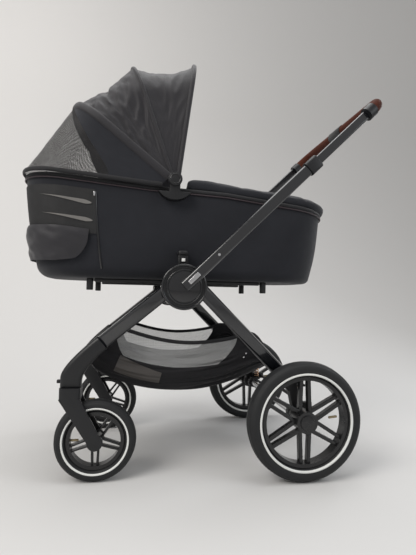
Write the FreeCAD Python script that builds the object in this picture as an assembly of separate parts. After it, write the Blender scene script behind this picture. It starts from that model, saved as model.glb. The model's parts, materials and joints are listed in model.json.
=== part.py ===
import FreeCAD, Part
import math
import os

# Baby stroller: folding chassis on four air tyres, with a carrycot and a three-bow hood.
# Millimetres. +X points to the handle, +Z up, and the head end of the carrycot is at -X.
# The origin is on the floor, below the middle of the stroller.

V = FreeCAD.Vector

# Wheels
REAR_WHEEL_D = 300.0
REAR_TYRE_W = 49.0
REAR_AXLE_X = 250.0
FRONT_WHEEL_D = 200.0
FRONT_TYRE_W = 39.0
FRONT_TRACK = 418.0
TYRE_DEPTH_RATIO = 0.76
RIM_WALL = 9.0
REAR_SPOKES = 6
FRONT_SPOKES = 5
AXLE_R = 6.0
HUB_END_WALL = 3.0
HUB_END_GAP = 0.4
RUN_CLEAR = 0.05
WHEEL_GAP = 5.5

# Side hubs, where the legs and the handle turn
HUB_X = -61.0
HUB_Z = 484.0
HUB_R = 57.0
HUB_PIN_R = 8.0
LAYER_GAP = 1.0
ADAPTER_HALF_W = 13.0
ADAPTER_H = 83.0
FRONT_LEG_OUTSET = 3.0
FRONT_LEG_T = 24.0
FRONT_LEG_W = 36.0
REAR_LEG_T = 22.0
REAR_LEG_W = 35.0
HUB_COVER_T = 7.0

# Legs
FRONT_LEG_ANGLE = 219.9
FRONT_LEG_OFFSET = 18.0
FRONT_LEG_LENGTH = 245.0
REAR_LEG_ANGLE = -44.8
REAR_LEG_OFFSET = 28.0
REAR_LEG_LENGTH = 372.0
HOUSING_HALF_W = 13.0
HOUSING_FOOT_R = 22.0
AXLE_SLEEVE_R = 9.0
SPRING_R = 9.0
SPRING_SHIFT_X = 15.0
SPRING_INSET_Y = 28.0
SPRING_LENGTH = 56.0
SPRING_FOOT_Z = 18.0

# Brake
BRAKE_BAR_R = 5.0
PEDAL_INNER_Y = 60.0
PEDAL_OUTER_Y = 130.0
PEDAL_REACH = 44.0

# Caster forks
CASTER_X = -333.0
CASTER_TRAIL = 63.0
CASTER_BOLT_R = 6.0
FORK_TOP_Z = 232.0
FORK_CROWN_H = 30.0
FORK_ARM_T = 8.0
FORK_ARM_W = 46.0
KNEE_W = 50.0
KNEE_T = 40.0
KNEE_ROUND = 11.0

# Handle
HANDLE_ANGLE = 44.6
HANDLE_TUBE_W = 30.0
HANDLE_TUBE_T = 18.0
HANDLE_TUBE_LENGTH = 478.0
HANDLE_RADIUS = 762.0
INNER_TUBE_W = 24.0
INNER_TUBE_T = 12.0
INNER_INSERT = 120.0
GRIP_R = 16.5
GRIP_CORNER_R = 62.0
COLLAR_LENGTH = 38.0
HANDLE_FIT = 0.4
SLIDER_LENGTH = 34.0
SLIDER_W = 11.0
SLIDER_T = 4.0
BUTTON_W = 36.0
BUTTON_T = 16.0
BUTTON_POCKET_GAP = 0.3
BUTTON_HOUSING_W = 76.0

# Carrycot
COT_FRONT_X = -488.0
COT_REAR_X = 397.0
COT_HALF_W = 198.0
COT_BOTTOM_HALF_W = 165.0
COT_BOTTOM_FRONT_X = -452.0
COT_BOTTOM_REAR_X = 350.0
COT_BOTTOM_Z = 505.0
COT_WALL = 5.0
COT_FLOOR = 8.0
COT_CORNER_R = 120.0
RIM_Z_HEAD = 770.0
RIM_Z_MIDDLE = 737.0
RIM_Z_FOOT = 696.0
RIM_PROUD = 4.0
RIM_H = 12.0
FOOT_H = 32.0
FOOT_SPACING_Y = 250.0
FOOT_FRONT_X = -305.0
FOOT_REAR_X = 183.0
APRON_START_X = 4.0
APRON_H = 26.0
MATTRESS_T = 35.0
MATTRESS_GAP = 6.0

# Hood
HOOD_X = -87.0
HOOD_Z = 766.0
HOOD_R = 364.0
HOOD_HALF_W = 211.0
HOOD_CORNER_R = 105.0
HOOD_LAYER = 4.5
PANEL_T = 2.0
BOW_T = 3.5
BOW_DEPTH = 7.0
BOW_HALF_ANGLE = 1.4
FRONT_BOW_ANGLE = 81.0
MID_BOW_ANGLE = 110.0
REAR_BOW_ANGLE = 142.0
HEAD_ANGLE = 177.0
HOOD_LIP = 5.0
HOOD_PIN_R = 5.0
HOOD_EYE_REACH = 29.0
HOOD_KNOB_R = 18.0
HOOD_BASE_R = 53.0

# Basket: its side outline as (x, z) points, from the front corner along the sagging rim
BASKET_KNEE_GAP = 4.0
BASKET_WALL = 4.0
BASKET_RIM = [(-225, 380), (-140, 355), (-40, 343), (50, 345), (120, 362)]
BASKET_BACK = [(160, 358), (198, 332), (220, 290)]
BASKET_FLOOR = [(212, 258), (103, 222), (40, 209), (-19, 205), (-90, 214), (-175, 240),
                (-288, 272)]

# Values that follow from the sizes above
HOOD_HEAD_R = HOOD_X - COT_FRONT_X
BASKET_HALF_W = FRONT_TRACK / 2 - KNEE_T / 2 - BASKET_KNEE_GAP
REAR_R = REAR_WHEEL_D / 2
FRONT_R = FRONT_WHEEL_D / 2
FRONT_LEG_Y = FRONT_TRACK / 2 + FRONT_LEG_OUTSET
REAR_LEG_Y = FRONT_LEG_Y + FRONT_LEG_T / 2 + LAYER_GAP + REAR_LEG_T / 2
REAR_WHEEL_Y = REAR_LEG_Y + REAR_LEG_T / 2 + WHEEL_GAP + REAR_TYRE_W / 2
HUB_COVER_Y = REAR_LEG_Y + REAR_LEG_T / 2 + LAYER_GAP
HANDLE_Y = HUB_COVER_Y + HUB_COVER_T + HANDLE_TUBE_T / 2
ADAPTER_Y = FRONT_LEG_Y - FRONT_LEG_T / 2 - LAYER_GAP
CASTER_Y = FRONT_TRACK / 2
FRONT_AXLE_X = CASTER_X + CASTER_TRAIL


def rotated(shape, degrees, x=0.0, z=0.0):
    """Turn a shape about the Y direction through (x, z); positive lifts +X towards +Z."""
    copy = shape.copy()
    copy.rotate(V(x, 0, z), V(0, -1, 0), degrees)
    return copy


def box(x0, x1, y0, y1, z0, z1):
    return Part.makeBox(x1 - x0, y1 - y0, z1 - z0, V(x0, y0, z0))


def disc(x, y0, y1, z, radius):
    """A round plate whose axis lies along Y."""
    return Part.makeCylinder(radius, y1 - y0, V(x, y0, z), V(0, 1, 0))


def rounded_bar(length, width, thick, radius):
    """A bar from the origin along +X, with its four long edges rounded."""
    bar = Part.makeBox(length, thick, width, V(0, -thick / 2, -width / 2))
    long_edges = [e for e in bar.Edges if abs(e.Length - length) < 1e-6 and
                  abs(e.tangentAt(e.FirstParameter).x) > 0.99]
    return bar.makeFillet(min(radius, thick * 0.48, width * 0.48), long_edges)


def placed_bar(start, angle, length, width, thick, radius, y):
    """A rounded bar that starts at (x, z) and points at an angle in the side view."""
    bar = rotated(rounded_bar(length, width, thick, radius), angle)
    bar.translate(V(start[0], y, start[1]))
    return bar


def along(point, angle, distance):
    turn = math.radians(angle)
    return point[0] + distance * math.cos(turn), point[1] + distance * math.sin(turn)


def polygon_prism(points, y0, y1):
    """A side-view outline of (x, z) points, made solid between two Y planes."""
    wire = Part.makePolygon([V(x, y0, z) for x, z in points + points[:1]])
    return Part.Face(wire).extrude(V(0, y1 - y0, 0))


def plan_outline(x0, x1, half_w, radius, z):
    """A wire: a rectangle in plan with round corners."""
    plate = Part.makeBox(x1 - x0, 2 * half_w, 1.0, V(x0, -half_w, z))
    upright = [e for e in plate.Edges if abs(e.tangentAt(e.FirstParameter).z) > 0.99]
    plate = plate.makeFillet(radius, upright)
    bottom = min(plate.Faces, key=lambda f: f.CenterOfMass.z)
    return bottom.OuterWire


def mirrored(shape):
    return shape.mirror(V(0, 0, 0), V(0, 1, 0))


def save(name, *shapes):
    """Write one node: one solid, or a group of separate solids."""
    solids = [solid for shape in shapes for solid in shape.Solids]
    part = solids[0] if len(solids) == 1 else Part.makeCompound(solids)
    part.exportStep(os.path.join("parts", name + ".step"))


def save_pair(name, right):
    """Write a sub-part of the +Y side and its mirror image."""
    save(name + "_right", right)
    save(name + "_left", mirrored(right))


def save_group(name, *shapes):
    """Write identical pieces of both sides as one node of separate solids."""
    save(name, *shapes, *[mirrored(shape) for shape in shapes])


# ---------------------------------------------------------------- wheels

def wheel_ring(radius, width):
    return radius - width * TYRE_DEPTH_RATIO


def make_tyre(x, y, radius, width):
    seat = wheel_ring(radius, width)
    depth = radius - seat
    half = width / 2
    crown = V(x + radius, y, radius)
    outer = Part.Arc(V(x + seat + depth * 0.45, y - half, radius), crown,
                     V(x + seat + depth * 0.45, y + half, radius)).toShape()
    low_y = half * 0.62
    corners = [V(x + seat + depth * 0.45, y + half, radius), V(x + seat, y + low_y, radius),
               V(x + seat, y - low_y, radius), V(x + seat + depth * 0.45, y - half, radius)]
    wire = Part.Wire([outer] + Part.makePolygon(corners).Edges)
    return Part.Face(wire).revolve(V(x, y, radius), V(0, 1, 0), 360)


def make_rim(x, y, radius, width, spokes, first_angle, hub_half, end_wall):
    """Rim ring, hub barrel and twin spokes in one; the wall closes the bore's outer end."""
    seat = wheel_ring(radius, width)
    half = width * 0.31
    ring = disc(x, y - half, y + half, radius, seat)
    ring = ring.cut(disc(x, y - half - 1, y + half + 1, radius, seat - RIM_WALL))
    hub_r = seat * 0.24
    body = ring.fuse(disc(x, y - hub_half, y + hub_half, radius, hub_r))
    reach = seat - RIM_WALL / 2
    for index in range(spokes):
        angle = first_angle + index * 360.0 / spokes
        for side in (-1, 1):
            inner = hub_r * 0.5 * side
            outer = seat * 0.085 * side
            lean = math.degrees(math.atan2(outer - inner, reach))
            length = math.hypot(reach, outer - inner)
            spoke = rounded_bar(length, seat * 0.085, width * 0.36, 2.5)
            spoke = rotated(spoke, lean)
            spoke.translate(V(0, 0, inner))
            spoke = rotated(spoke, angle)
            spoke.translate(V(x, y, radius))
            body = body.fuse(spoke)
    bore = disc(x, y - hub_half - 1, y + hub_half - end_wall, radius, AXLE_R + RUN_CLEAR)
    return body.cut(bore).removeSplitter()


def make_wheels():
    rear_hub_half = REAR_TYRE_W / 2 - 1.0
    save_pair("rear_tyre", make_tyre(REAR_AXLE_X, REAR_WHEEL_Y, REAR_R, REAR_TYRE_W))
    save_pair("rear_rim", make_rim(REAR_AXLE_X, REAR_WHEEL_Y, REAR_R, REAR_TYRE_W,
                                   REAR_SPOKES, 90.0, rear_hub_half, HUB_END_WALL))
    front_hub_half = FRONT_TYRE_W / 2 - 1.0
    save_pair("front_tyre", make_tyre(FRONT_AXLE_X, CASTER_Y, FRONT_R, FRONT_TYRE_W))
    save_pair("front_rim", make_rim(FRONT_AXLE_X, CASTER_Y, FRONT_R, FRONT_TYRE_W,
                                    FRONT_SPOKES, 270.0, front_hub_half, -1.0))


# ---------------------------------------------------------------- rear frame

def make_rear_legs():
    start = along((HUB_X, HUB_Z), REAR_LEG_ANGLE + 90, REAR_LEG_OFFSET)
    leg = placed_bar(start, REAR_LEG_ANGLE, REAR_LEG_LENGTH, REAR_LEG_W, REAR_LEG_T, 9.0,
                     REAR_LEG_Y)
    y0 = REAR_LEG_Y - REAR_LEG_T / 2
    y1 = REAR_LEG_Y + REAR_LEG_T / 2
    leg = leg.fuse(disc(HUB_X, y0, y1, HUB_Z, HUB_R))
    leg = leg.cut(disc(HUB_X, y0 - 1, y1 + 1, HUB_Z, HUB_PIN_R))
    save_pair("rear_leg", leg.removeSplitter())
    return along(start, REAR_LEG_ANGLE, REAR_LEG_LENGTH)


def make_rear_axle(leg_end):
    """The spring housings under the rear legs, the axle through them and the coil springs."""
    y0 = REAR_LEG_Y - REAR_LEG_T / 2
    y1 = REAR_LEG_Y + REAR_LEG_T / 2
    side = REAR_LEG_W / 2 + 2
    collar = placed_bar(along(leg_end, REAR_LEG_ANGLE, 0.2), REAR_LEG_ANGLE, 18.0, 2 * side,
                        REAR_LEG_T, 6.0, REAR_LEG_Y)
    middle = along(leg_end, REAR_LEG_ANGLE, 10.0)
    outline = [along(middle, REAR_LEG_ANGLE - 90, HOUSING_HALF_W),
               along(middle, REAR_LEG_ANGLE + 90, HOUSING_HALF_W),
               (REAR_AXLE_X + HOUSING_HALF_W, REAR_R), (REAR_AXLE_X - HOUSING_HALF_W, REAR_R)]
    housing = polygon_prism(outline, y0, y1).fuse(disc(REAR_AXLE_X, y0, y1, REAR_R,
                                                       HOUSING_FOOT_R))
    housing = housing.fuse(collar)
    housing = housing.cut(disc(REAR_AXLE_X, y0 - 1, y1 + 1, REAR_R, AXLE_R))
    save_group("suspension_housings", housing.removeSplitter())
    end_y = REAR_WHEEL_Y + REAR_TYRE_W / 2 - 1.0 - HUB_END_WALL - HUB_END_GAP
    axle = disc(REAR_AXLE_X, -end_y, end_y, REAR_R, AXLE_R)
    save("rear_axle", axle.fuse(disc(REAR_AXLE_X, -y0, y0, REAR_R, AXLE_SLEEVE_R)).removeSplitter())
    spring_x = REAR_AXLE_X + SPRING_SHIFT_X
    spring_y = y0 - SPRING_INSET_Y
    reach = SPRING_R + 1
    foot = disc(REAR_AXLE_X, spring_y - reach, spring_y + reach, REAR_R, 16)
    foot = foot.cut(disc(REAR_AXLE_X, spring_y - reach - 1, spring_y + reach + 1, REAR_R,
                         AXLE_SLEEVE_R))
    bottom = box(REAR_AXLE_X - 8, spring_x + reach, spring_y - reach, spring_y + reach,
                 REAR_R + 12, REAR_R + SPRING_FOOT_Z)
    seat_z = REAR_R + SPRING_FOOT_Z + SPRING_LENGTH
    seat = box(REAR_AXLE_X - 22, spring_x + reach, spring_y - reach, y0, seat_z,
               seat_z + 6)
    save_group("spring_brackets", Part.makeCompound([foot.fuse(bottom).removeSplitter(), seat]))
    spring = Part.makeCylinder(SPRING_R, SPRING_LENGTH,
                               V(spring_x, spring_y, REAR_R + SPRING_FOOT_Z))
    save_group("suspension_springs", spring)


def make_brake():
    """A foot pedal on the right of the rear axle, with the bar that works both brakes."""
    x = REAR_AXLE_X + 34
    z = REAR_R + 22
    bar_half = REAR_LEG_Y - REAR_LEG_T / 2 - 0.5
    bar = disc(x, -bar_half, bar_half, z, BRAKE_BAR_R)
    pedal = box(x - 8, x + PEDAL_REACH, PEDAL_INNER_Y, PEDAL_OUTER_Y, z - 8, z + 7)
    upright = [e for e in pedal.Edges if abs(e.tangentAt(e.FirstParameter).z) > 0.99]
    pedal = pedal.makeFillet(9, upright)
    save("brake_pedal", pedal.fuse(bar).removeSplitter())
    lug = box(REAR_AXLE_X + 22.5, x + 10, bar_half - 16, bar_half, z - 10, z + 10)
    lug = lug.cut(disc(x, bar_half - 17, bar_half + 1, z, BRAKE_BAR_R + RUN_CLEAR))
    arm = box(REAR_AXLE_X - 12, REAR_AXLE_X + 22.5, bar_half - 16, bar_half, REAR_R - 12, z + 10)
    arm = arm.cut(disc(REAR_AXLE_X, bar_half - 17, bar_half + 1, REAR_R, 16.3))
    arm = arm.cut(box(REAR_AXLE_X - 26, REAR_AXLE_X + 5.3, 0, bar_half + 1, REAR_R, z + 20))
    save_group("brake_brackets", lug.fuse(arm).removeSplitter())


def make_hub():
    pin = disc(HUB_X, ADAPTER_Y - 5.5, HUB_COVER_Y, HUB_Z, HUB_PIN_R)
    save_group("hub_pins", pin)
    half = ADAPTER_HALF_W
    plate = box(HUB_X - half, HUB_X + half, ADAPTER_Y - 5, ADAPTER_Y, HUB_Z - 40, HUB_Z + 62)
    head = box(HUB_X - half, HUB_X + half, ADAPTER_Y - 5, FRONT_LEG_Y + 2, HUB_Z + HUB_R + 2,
               HUB_Z + ADAPTER_H)
    adapter = plate.fuse(head)
    adapter = adapter.cut(disc(HUB_X, ADAPTER_Y - 6, ADAPTER_Y + 1, HUB_Z, HUB_PIN_R))
    pocket = box(HUB_X - 7.3, HUB_X + 7.3, FRONT_LEG_Y - 6, FRONT_LEG_Y + 3, HUB_Z + 63.7,
                 HUB_Z + 78.3)
    save_group("cot_adapters", adapter.cut(pocket).removeSplitter())
    button = box(HUB_X - 7, HUB_X + 7, FRONT_LEG_Y - 2, FRONT_LEG_Y + 7, HUB_Z + 64, HUB_Z + 78)
    save_pair("release_button", button)


def make_basket():
    """A cloth tub between the legs, open at the top, with its rim sagging in the middle."""
    outer = polygon_prism(BASKET_RIM + BASKET_BACK + BASKET_FLOOR, -BASKET_HALF_W,
                          BASKET_HALF_W)
    wall = BASKET_WALL
    front_x, front_z = BASKET_RIM[0]
    back_x, back_z = BASKET_BACK[0]
    heel_x, heel_z = BASKET_FLOOR[0]
    nose_x, nose_z = BASKET_FLOOR[-1]
    above = front_z + 120
    inner = [(front_x + wall, above), (back_x - wall, above), (back_x - wall, back_z - wall)]
    inner += [(x - wall, z - wall) for x, z in BASKET_BACK[1:]]
    inner += [(heel_x - wall, heel_z + wall)]
    inner += [(x, z + wall) for x, z in BASKET_FLOOR[1:-1]]
    inner += [(nose_x + 2 * wall, nose_z + wall), (front_x + wall, front_z)]
    half = BASKET_HALF_W - wall
    save("basket", outer.cut(polygon_prism(inner, -half, half)))


# ---------------------------------------------------------------- front frame

def make_front_legs():
    y0 = FRONT_LEG_Y - FRONT_LEG_T / 2
    y1 = FRONT_LEG_Y + FRONT_LEG_T / 2
    start = along((HUB_X, HUB_Z), FRONT_LEG_ANGLE - 90, FRONT_LEG_OFFSET)
    leg = placed_bar(start, FRONT_LEG_ANGLE, FRONT_LEG_LENGTH, FRONT_LEG_W, FRONT_LEG_T, 10.0,
                     FRONT_LEG_Y)
    leg = leg.fuse(disc(HUB_X, y0, y1, HUB_Z, HUB_R))
    leg = leg.cut(disc(HUB_X, y0 - 1, y1 + 1, HUB_Z, HUB_PIN_R + RUN_CLEAR))
    save_pair("front_leg", leg.removeSplitter())
    return along(start, FRONT_LEG_ANGLE, FRONT_LEG_LENGTH)


def knee_curve(start, x, z, y):
    """The bend of the knee: it leaves along the leg and ends straight down at (x, z)."""
    turn = math.radians(FRONT_LEG_ANGLE)
    reach = (x - start[0]) / math.cos(turn)
    corner = V(x, y, start[1] + reach * math.sin(turn))
    curve = Part.BezierCurve()
    curve.setPoles([V(start[0], y, start[1]), corner, V(x, y, z)])
    return curve


def make_knees(leg_end):
    """The moulded elbow from each front leg down to its caster bearing."""
    half = KNEE_W / 2
    down = FORK_TOP_Z + 1.0
    inner = along(leg_end, FRONT_LEG_ANGLE + 90, FRONT_LEG_W / 2 + 2)
    outer = along(leg_end, FRONT_LEG_ANGLE - 90, FRONT_LEG_W / 2 + 2)
    y0 = CASTER_Y - KNEE_T / 2
    y1 = CASTER_Y + KNEE_T / 2
    back = knee_curve(inner, CASTER_X + half, down + 10, y0)
    face = knee_curve(outer, CASTER_X - half, down + 22, y0)
    edges = [back.toShape(), Part.makeLine(V(CASTER_X + half, y0, down + 10),
                                           V(CASTER_X + half, y0, down)),
             Part.makeLine(V(CASTER_X + half, y0, down), V(CASTER_X - half, y0, down)),
             Part.makeLine(V(CASTER_X - half, y0, down), V(CASTER_X - half, y0, down + 22)),
             face.toShape(), Part.makeLine(V(outer[0], y0, outer[1]), V(inner[0], y0, inner[1]))]
    wire = Part.Wire(Part.__sortEdges__(edges))
    knee = Part.Face(wire).extrude(V(0, y1 - y0, 0))
    ends = (down, (inner[1] + outer[1]) / 2)
    rims = [e for e in knee.Edges if abs(e.CenterOfMass.y - CASTER_Y) > KNEE_T / 2 - 0.1 and
            min(abs(e.CenterOfMass.z - end) for end in ends) > 0.5]
    knee = knee.makeFillet(KNEE_ROUND, rims)
    bolt_hole = Part.makeCylinder(CASTER_BOLT_R + RUN_CLEAR, 34, V(CASTER_X, CASTER_Y, down - 1))
    lever_slot = box(CASTER_X - half - 1, CASTER_X - 16, CASTER_Y - 6.3, CASTER_Y + 6.3,
                     down + 7.7, down + 20.3)
    save_pair("front_knee", knee.cut(bolt_hole).cut(lever_slot))
    lever = box(CASTER_X - half - 9, CASTER_X - 18, CASTER_Y - 6, CASTER_Y + 6, down + 8,
                down + 16)
    save_pair("swivel_lock", lever)
    tube_x = CASTER_X + 12
    tube = disc(tube_x, -y0, y0, down + 48, 10)
    save("front_cross_tube", tube)


def make_casters():
    """The fork: a crown under the bearing and two slanting arms beside the wheel."""
    inner = FRONT_TYRE_W / 2 + 3.0
    outer = inner + FORK_ARM_T
    half = FORK_ARM_W / 2
    crown = box(CASTER_X - half - 2, CASTER_X + half + 2, CASTER_Y - outer, CASTER_Y + outer,
                FORK_TOP_Z - FORK_CROWN_H, FORK_TOP_Z)
    upright = [e for e in crown.Edges if abs(e.tangentAt(e.FirstParameter).z) > 0.99]
    crown = crown.makeFillet(10.0, upright)
    clear = disc(FRONT_AXLE_X, CASTER_Y - outer, CASTER_Y + outer, FRONT_R, FRONT_R + 5)
    crown = crown.cut(clear)
    slant = [(CASTER_X - half - 2, FORK_TOP_Z - FORK_CROWN_H + 4), (CASTER_X + half + 2,
             FORK_TOP_Z - FORK_CROWN_H + 4), (FRONT_AXLE_X + half - 4, FRONT_R),
             (FRONT_AXLE_X - half + 4, FRONT_R)]
    fork = crown
    for side in (-1, 1):
        near = CASTER_Y + side * inner
        far = CASTER_Y + side * outer
        y0 = min(near, far)
        y1 = max(near, far)
        arm = polygon_prism(slant, y0, y1).fuse(disc(FRONT_AXLE_X, y0, y1, FRONT_R, half - 4))
        fork = fork.fuse(arm)
    fork = fork.fuse(disc(FRONT_AXLE_X, CASTER_Y - outer, CASTER_Y + outer, FRONT_R, AXLE_R))
    bolt = Part.makeCylinder(CASTER_BOLT_R, 30 + 4, V(CASTER_X, CASTER_Y, FORK_TOP_Z - 4))
    save_pair("caster_fork", fork.fuse(bolt).removeSplitter())


# ---------------------------------------------------------------- handle

def handle_shape(shape, y):
    """Place a shape, drawn along +X from the hub centre, along the handle."""
    copy = rotated(shape, HANDLE_ANGLE)
    copy.translate(V(HUB_X, y, HUB_Z))
    return copy


def make_handle():
    tube = rounded_bar(HANDLE_TUBE_LENGTH, HANDLE_TUBE_W, HANDLE_TUBE_T, 7.0)
    bore = rounded_bar(INNER_INSERT + 90, INNER_TUBE_W + 2 * HANDLE_FIT,
                       INNER_TUBE_T + 2 * HANDLE_FIT, 5.0)
    bore.translate(V(HANDLE_TUBE_LENGTH - INNER_INSERT - 60, 0, 0))
    save_pair("handle_tube", handle_shape(tube.cut(bore), HANDLE_Y))
    cover = disc(HUB_X, HUB_COVER_Y, HUB_COVER_Y + HUB_COVER_T, HUB_Z, HUB_R + 1.5)
    outer_edges = [e for e in cover.Edges if e.CenterOfMass.y > HUB_COVER_Y + HUB_COVER_T - 0.1]
    cover = cover.makeFillet(3.5, outer_edges)
    groove = disc(HUB_X, HUB_COVER_Y + HUB_COVER_T - 1.5, HUB_COVER_Y + HUB_COVER_T + 1, HUB_Z,
                  HUB_R - 8)
    groove = groove.cut(disc(HUB_X, HUB_COVER_Y, HUB_COVER_Y + HUB_COVER_T + 2, HUB_Z,
                             HUB_R - 11))
    save_pair("hub_cover", cover.cut(groove))
    collar = rounded_bar(COLLAR_LENGTH, HANDLE_TUBE_W + 8, HANDLE_TUBE_T + 8, 9.0)
    collar.translate(V(HANDLE_TUBE_LENGTH - COLLAR_LENGTH + 12, 0, 0))
    collar = collar.cut(rounded_bar(HANDLE_TUBE_LENGTH, HANDLE_TUBE_W, HANDLE_TUBE_T, 7.0))
    collar = collar.cut(rounded_bar(HANDLE_TUBE_LENGTH + 40, INNER_TUBE_W + 2 * HANDLE_FIT,
                                    INNER_TUBE_T + 2 * HANDLE_FIT, 5.0))
    save_group("telescope_collars", handle_shape(collar, HANDLE_Y))
    slider = Part.makeBox(SLIDER_LENGTH, SLIDER_T, SLIDER_W,
                          V(14, HANDLE_TUBE_T / 2 + 0.3, -SLIDER_W / 2))
    save_pair("fold_slider", handle_shape(slider, HANDLE_Y))


def make_push_bar():
    """The sliding inner tubes, the leather-covered bar across and its centre button."""
    start = HANDLE_TUBE_LENGTH - INNER_INSERT
    inner = rounded_bar(HANDLE_RADIUS - GRIP_CORNER_R - start, INNER_TUBE_W, INNER_TUBE_T, 4.6)
    inner.translate(V(start, 0, 0))
    save_pair("push_bar_tube", handle_shape(inner, HANDLE_Y))
    corner_start = V(HANDLE_RADIUS - GRIP_CORNER_R, HANDLE_Y, 0)
    bend = math.sin(math.radians(45)) * GRIP_CORNER_R
    corner_mid = V(HANDLE_RADIUS - GRIP_CORNER_R + bend, HANDLE_Y - GRIP_CORNER_R + bend, 0)
    corner_end = V(HANDLE_RADIUS, HANDLE_Y - GRIP_CORNER_R, 0)
    arc = Part.Arc(corner_start, corner_mid, corner_end).toShape()
    housing_half = BUTTON_HOUSING_W / 2
    run = Part.makeLine(corner_end, V(HANDLE_RADIUS, housing_half, 0))
    path = Part.Wire([arc, run])
    circle = Part.Wire([Part.makeCircle(GRIP_R, corner_start, V(1, 0, 0))])
    grip = path.makePipeShell([circle], True, False)
    save_pair("leather_grip", handle_shape(grip, 0))
    housing = Part.makeCylinder(GRIP_R + 2, BUTTON_HOUSING_W,
                                V(HANDLE_RADIUS, -housing_half, 0), V(0, 1, 0))
    pocket_w = BUTTON_W + 2 * BUTTON_POCKET_GAP
    pocket_t = BUTTON_T + 2 * BUTTON_POCKET_GAP
    pocket = Part.makeBox(30, pocket_w, pocket_t,
                          V(HANDLE_RADIUS + 3, -pocket_w / 2, -pocket_t / 2))
    save("button_housing", handle_shape(housing.cut(pocket), 0))
    button = Part.makeBox(14, BUTTON_W, BUTTON_T,
                          V(HANDLE_RADIUS + 9, -BUTTON_W / 2, -BUTTON_T / 2))
    save("telescope_button", handle_shape(button, 0))


# ---------------------------------------------------------------- carrycot

def cot_block(inset, floor):
    """The carrycot's outer form, drawn in by an inset, up past its rim."""
    low = plan_outline(COT_BOTTOM_FRONT_X + inset, COT_BOTTOM_REAR_X - inset,
                       COT_BOTTOM_HALF_W - inset, COT_CORNER_R - inset, COT_BOTTOM_Z + floor)
    high = plan_outline(COT_FRONT_X + inset, COT_REAR_X - inset, COT_HALF_W - inset,
                        COT_CORNER_R - inset, RIM_Z_HEAD + 20)
    return Part.makeLoft([low, high], True, True)


def rim_line(lift):
    return [(COT_FRONT_X - 30, RIM_Z_HEAD + lift), (-150, RIM_Z_MIDDLE + 4 + lift),
            (60, RIM_Z_MIDDLE - 4 + lift), (COT_REAR_X + 60, RIM_Z_FOOT - 6 + lift)]


def slab(bottom_lift, top_lift):
    """The layer between two copies of the rim line."""
    outline = rim_line(bottom_lift) + rim_line(top_lift)[::-1]
    return polygon_prism(outline, -300, 300)


def make_cot():
    below = [(COT_FRONT_X - 30, 400)] + rim_line(0) + [(COT_REAR_X + 60, 400)]
    trimmed = polygon_prism(below, -300, 300)
    outer = cot_block(0, 0)
    body = outer.cut(cot_block(COT_WALL, COT_FLOOR)).common(trimmed)
    save("cot_body", body)
    rim = cot_block(-RIM_PROUD, 0).cut(cot_block(COT_WALL, 0)).common(slab(0.0, RIM_H))
    save("cot_rim", rim)
    pad = cot_block(COT_WALL + MATTRESS_GAP, COT_FLOOR)
    low = box(COT_FRONT_X, COT_REAR_X, -300, 300, COT_BOTTOM_Z,
              COT_BOTTOM_Z + COT_FLOOR + MATTRESS_T)
    save("mattress", pad.common(low))
    band = box(APRON_START_X, COT_REAR_X + 100, -300, 300, 400, 900)
    apron = cot_block(-RIM_PROUD - 3, 0).common(slab(RIM_H, RIM_H + APRON_H)).common(band)
    save("apron", apron)
    feet = [Part.makeCylinder(9.0, FOOT_H, V(x, FOOT_SPACING_Y / 2, COT_BOTTOM_Z - FOOT_H))
            for x in (FOOT_FRONT_X, FOOT_REAR_X)]
    save_group("cot_feet", *feet)
    rail = box(FOOT_FRONT_X + 12, FOOT_REAR_X - 12, FOOT_SPACING_Y / 2 - 7,
               FOOT_SPACING_Y / 2 + 7, COT_BOTTOM_Z - 10, COT_BOTTOM_Z)
    save_group("cot_rails", rail)
    bracket = box(HUB_X - ADAPTER_HALF_W, HUB_X + ADAPTER_HALF_W, COT_BOTTOM_HALF_W,
                  FRONT_LEG_Y + 2, HUB_Z + ADAPTER_H + 0.3, HUB_Z + ADAPTER_H + 14)
    save_group("cot_brackets", bracket.cut(outer))


# ---------------------------------------------------------------- hood

def hood_section(radius, half):
    """A flat face across the hood: a rectangle from the pivot line out, its far corners round."""
    plate = Part.makeBox(radius * 2, 2 * half, 1.0, V(-radius, -half, 0))
    corners = [e for e in plate.Edges if abs(e.tangentAt(e.FirstParameter).z) > 0.99 and
               e.CenterOfMass.x > 0]
    plate = plate.makeFillet(HOOD_CORNER_R - HOOD_HALF_W + half, corners)
    bottom = min(plate.Faces, key=lambda face: face.CenterOfMass.z)
    keep = Part.makePlane(radius + 5, 2 * half + 10, V(0.4, -half - 5, 0))
    return bottom.common(keep).Faces[0]


def hood_head_panel():
    """The fixed panel from the rear bow out to the head end, wider towards the rim."""
    skins = []
    for inset in (0.0, PANEL_T):
        wires = []
        for radius, angle in ((HOOD_R + HOOD_LIP, REAR_BOW_ANGLE), (HOOD_HEAD_R, HEAD_ANGLE)):
            face = rotated(hood_section(radius - inset, HOOD_HALF_W - inset), angle)
            face.translate(V(HOOD_X, 0, HOOD_Z))
            wires.append(face.OuterWire)
        skins.append(Part.makeLoft(wires, True, True))
    panel = skins[0].cut(skins[1])
    return panel.cut(disc(HOOD_X, -300, 300, HOOD_Z, HOOD_EYE_REACH + 1))


def hood_band(layer, thick, first_angle, last_angle):
    """A curved sheet of the hood: a U across the carrycot, swept round the hood pivot."""
    half = HOOD_HALF_W - layer * HOOD_LAYER
    radius = HOOD_R - layer * HOOD_LAYER
    profile = hood_section(radius, half).cut(hood_section(radius - thick, half - thick))
    keep = Part.makePlane(radius + 5, 2 * half + 10, V(0.5, -half - 5, 0))
    band = profile.common(keep).revolve(V(0, 0, 0), V(0, -1, 0), last_angle - first_angle)
    band = rotated(band, first_angle)
    band.translate(V(HOOD_X, 0, HOOD_Z))
    return band


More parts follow.
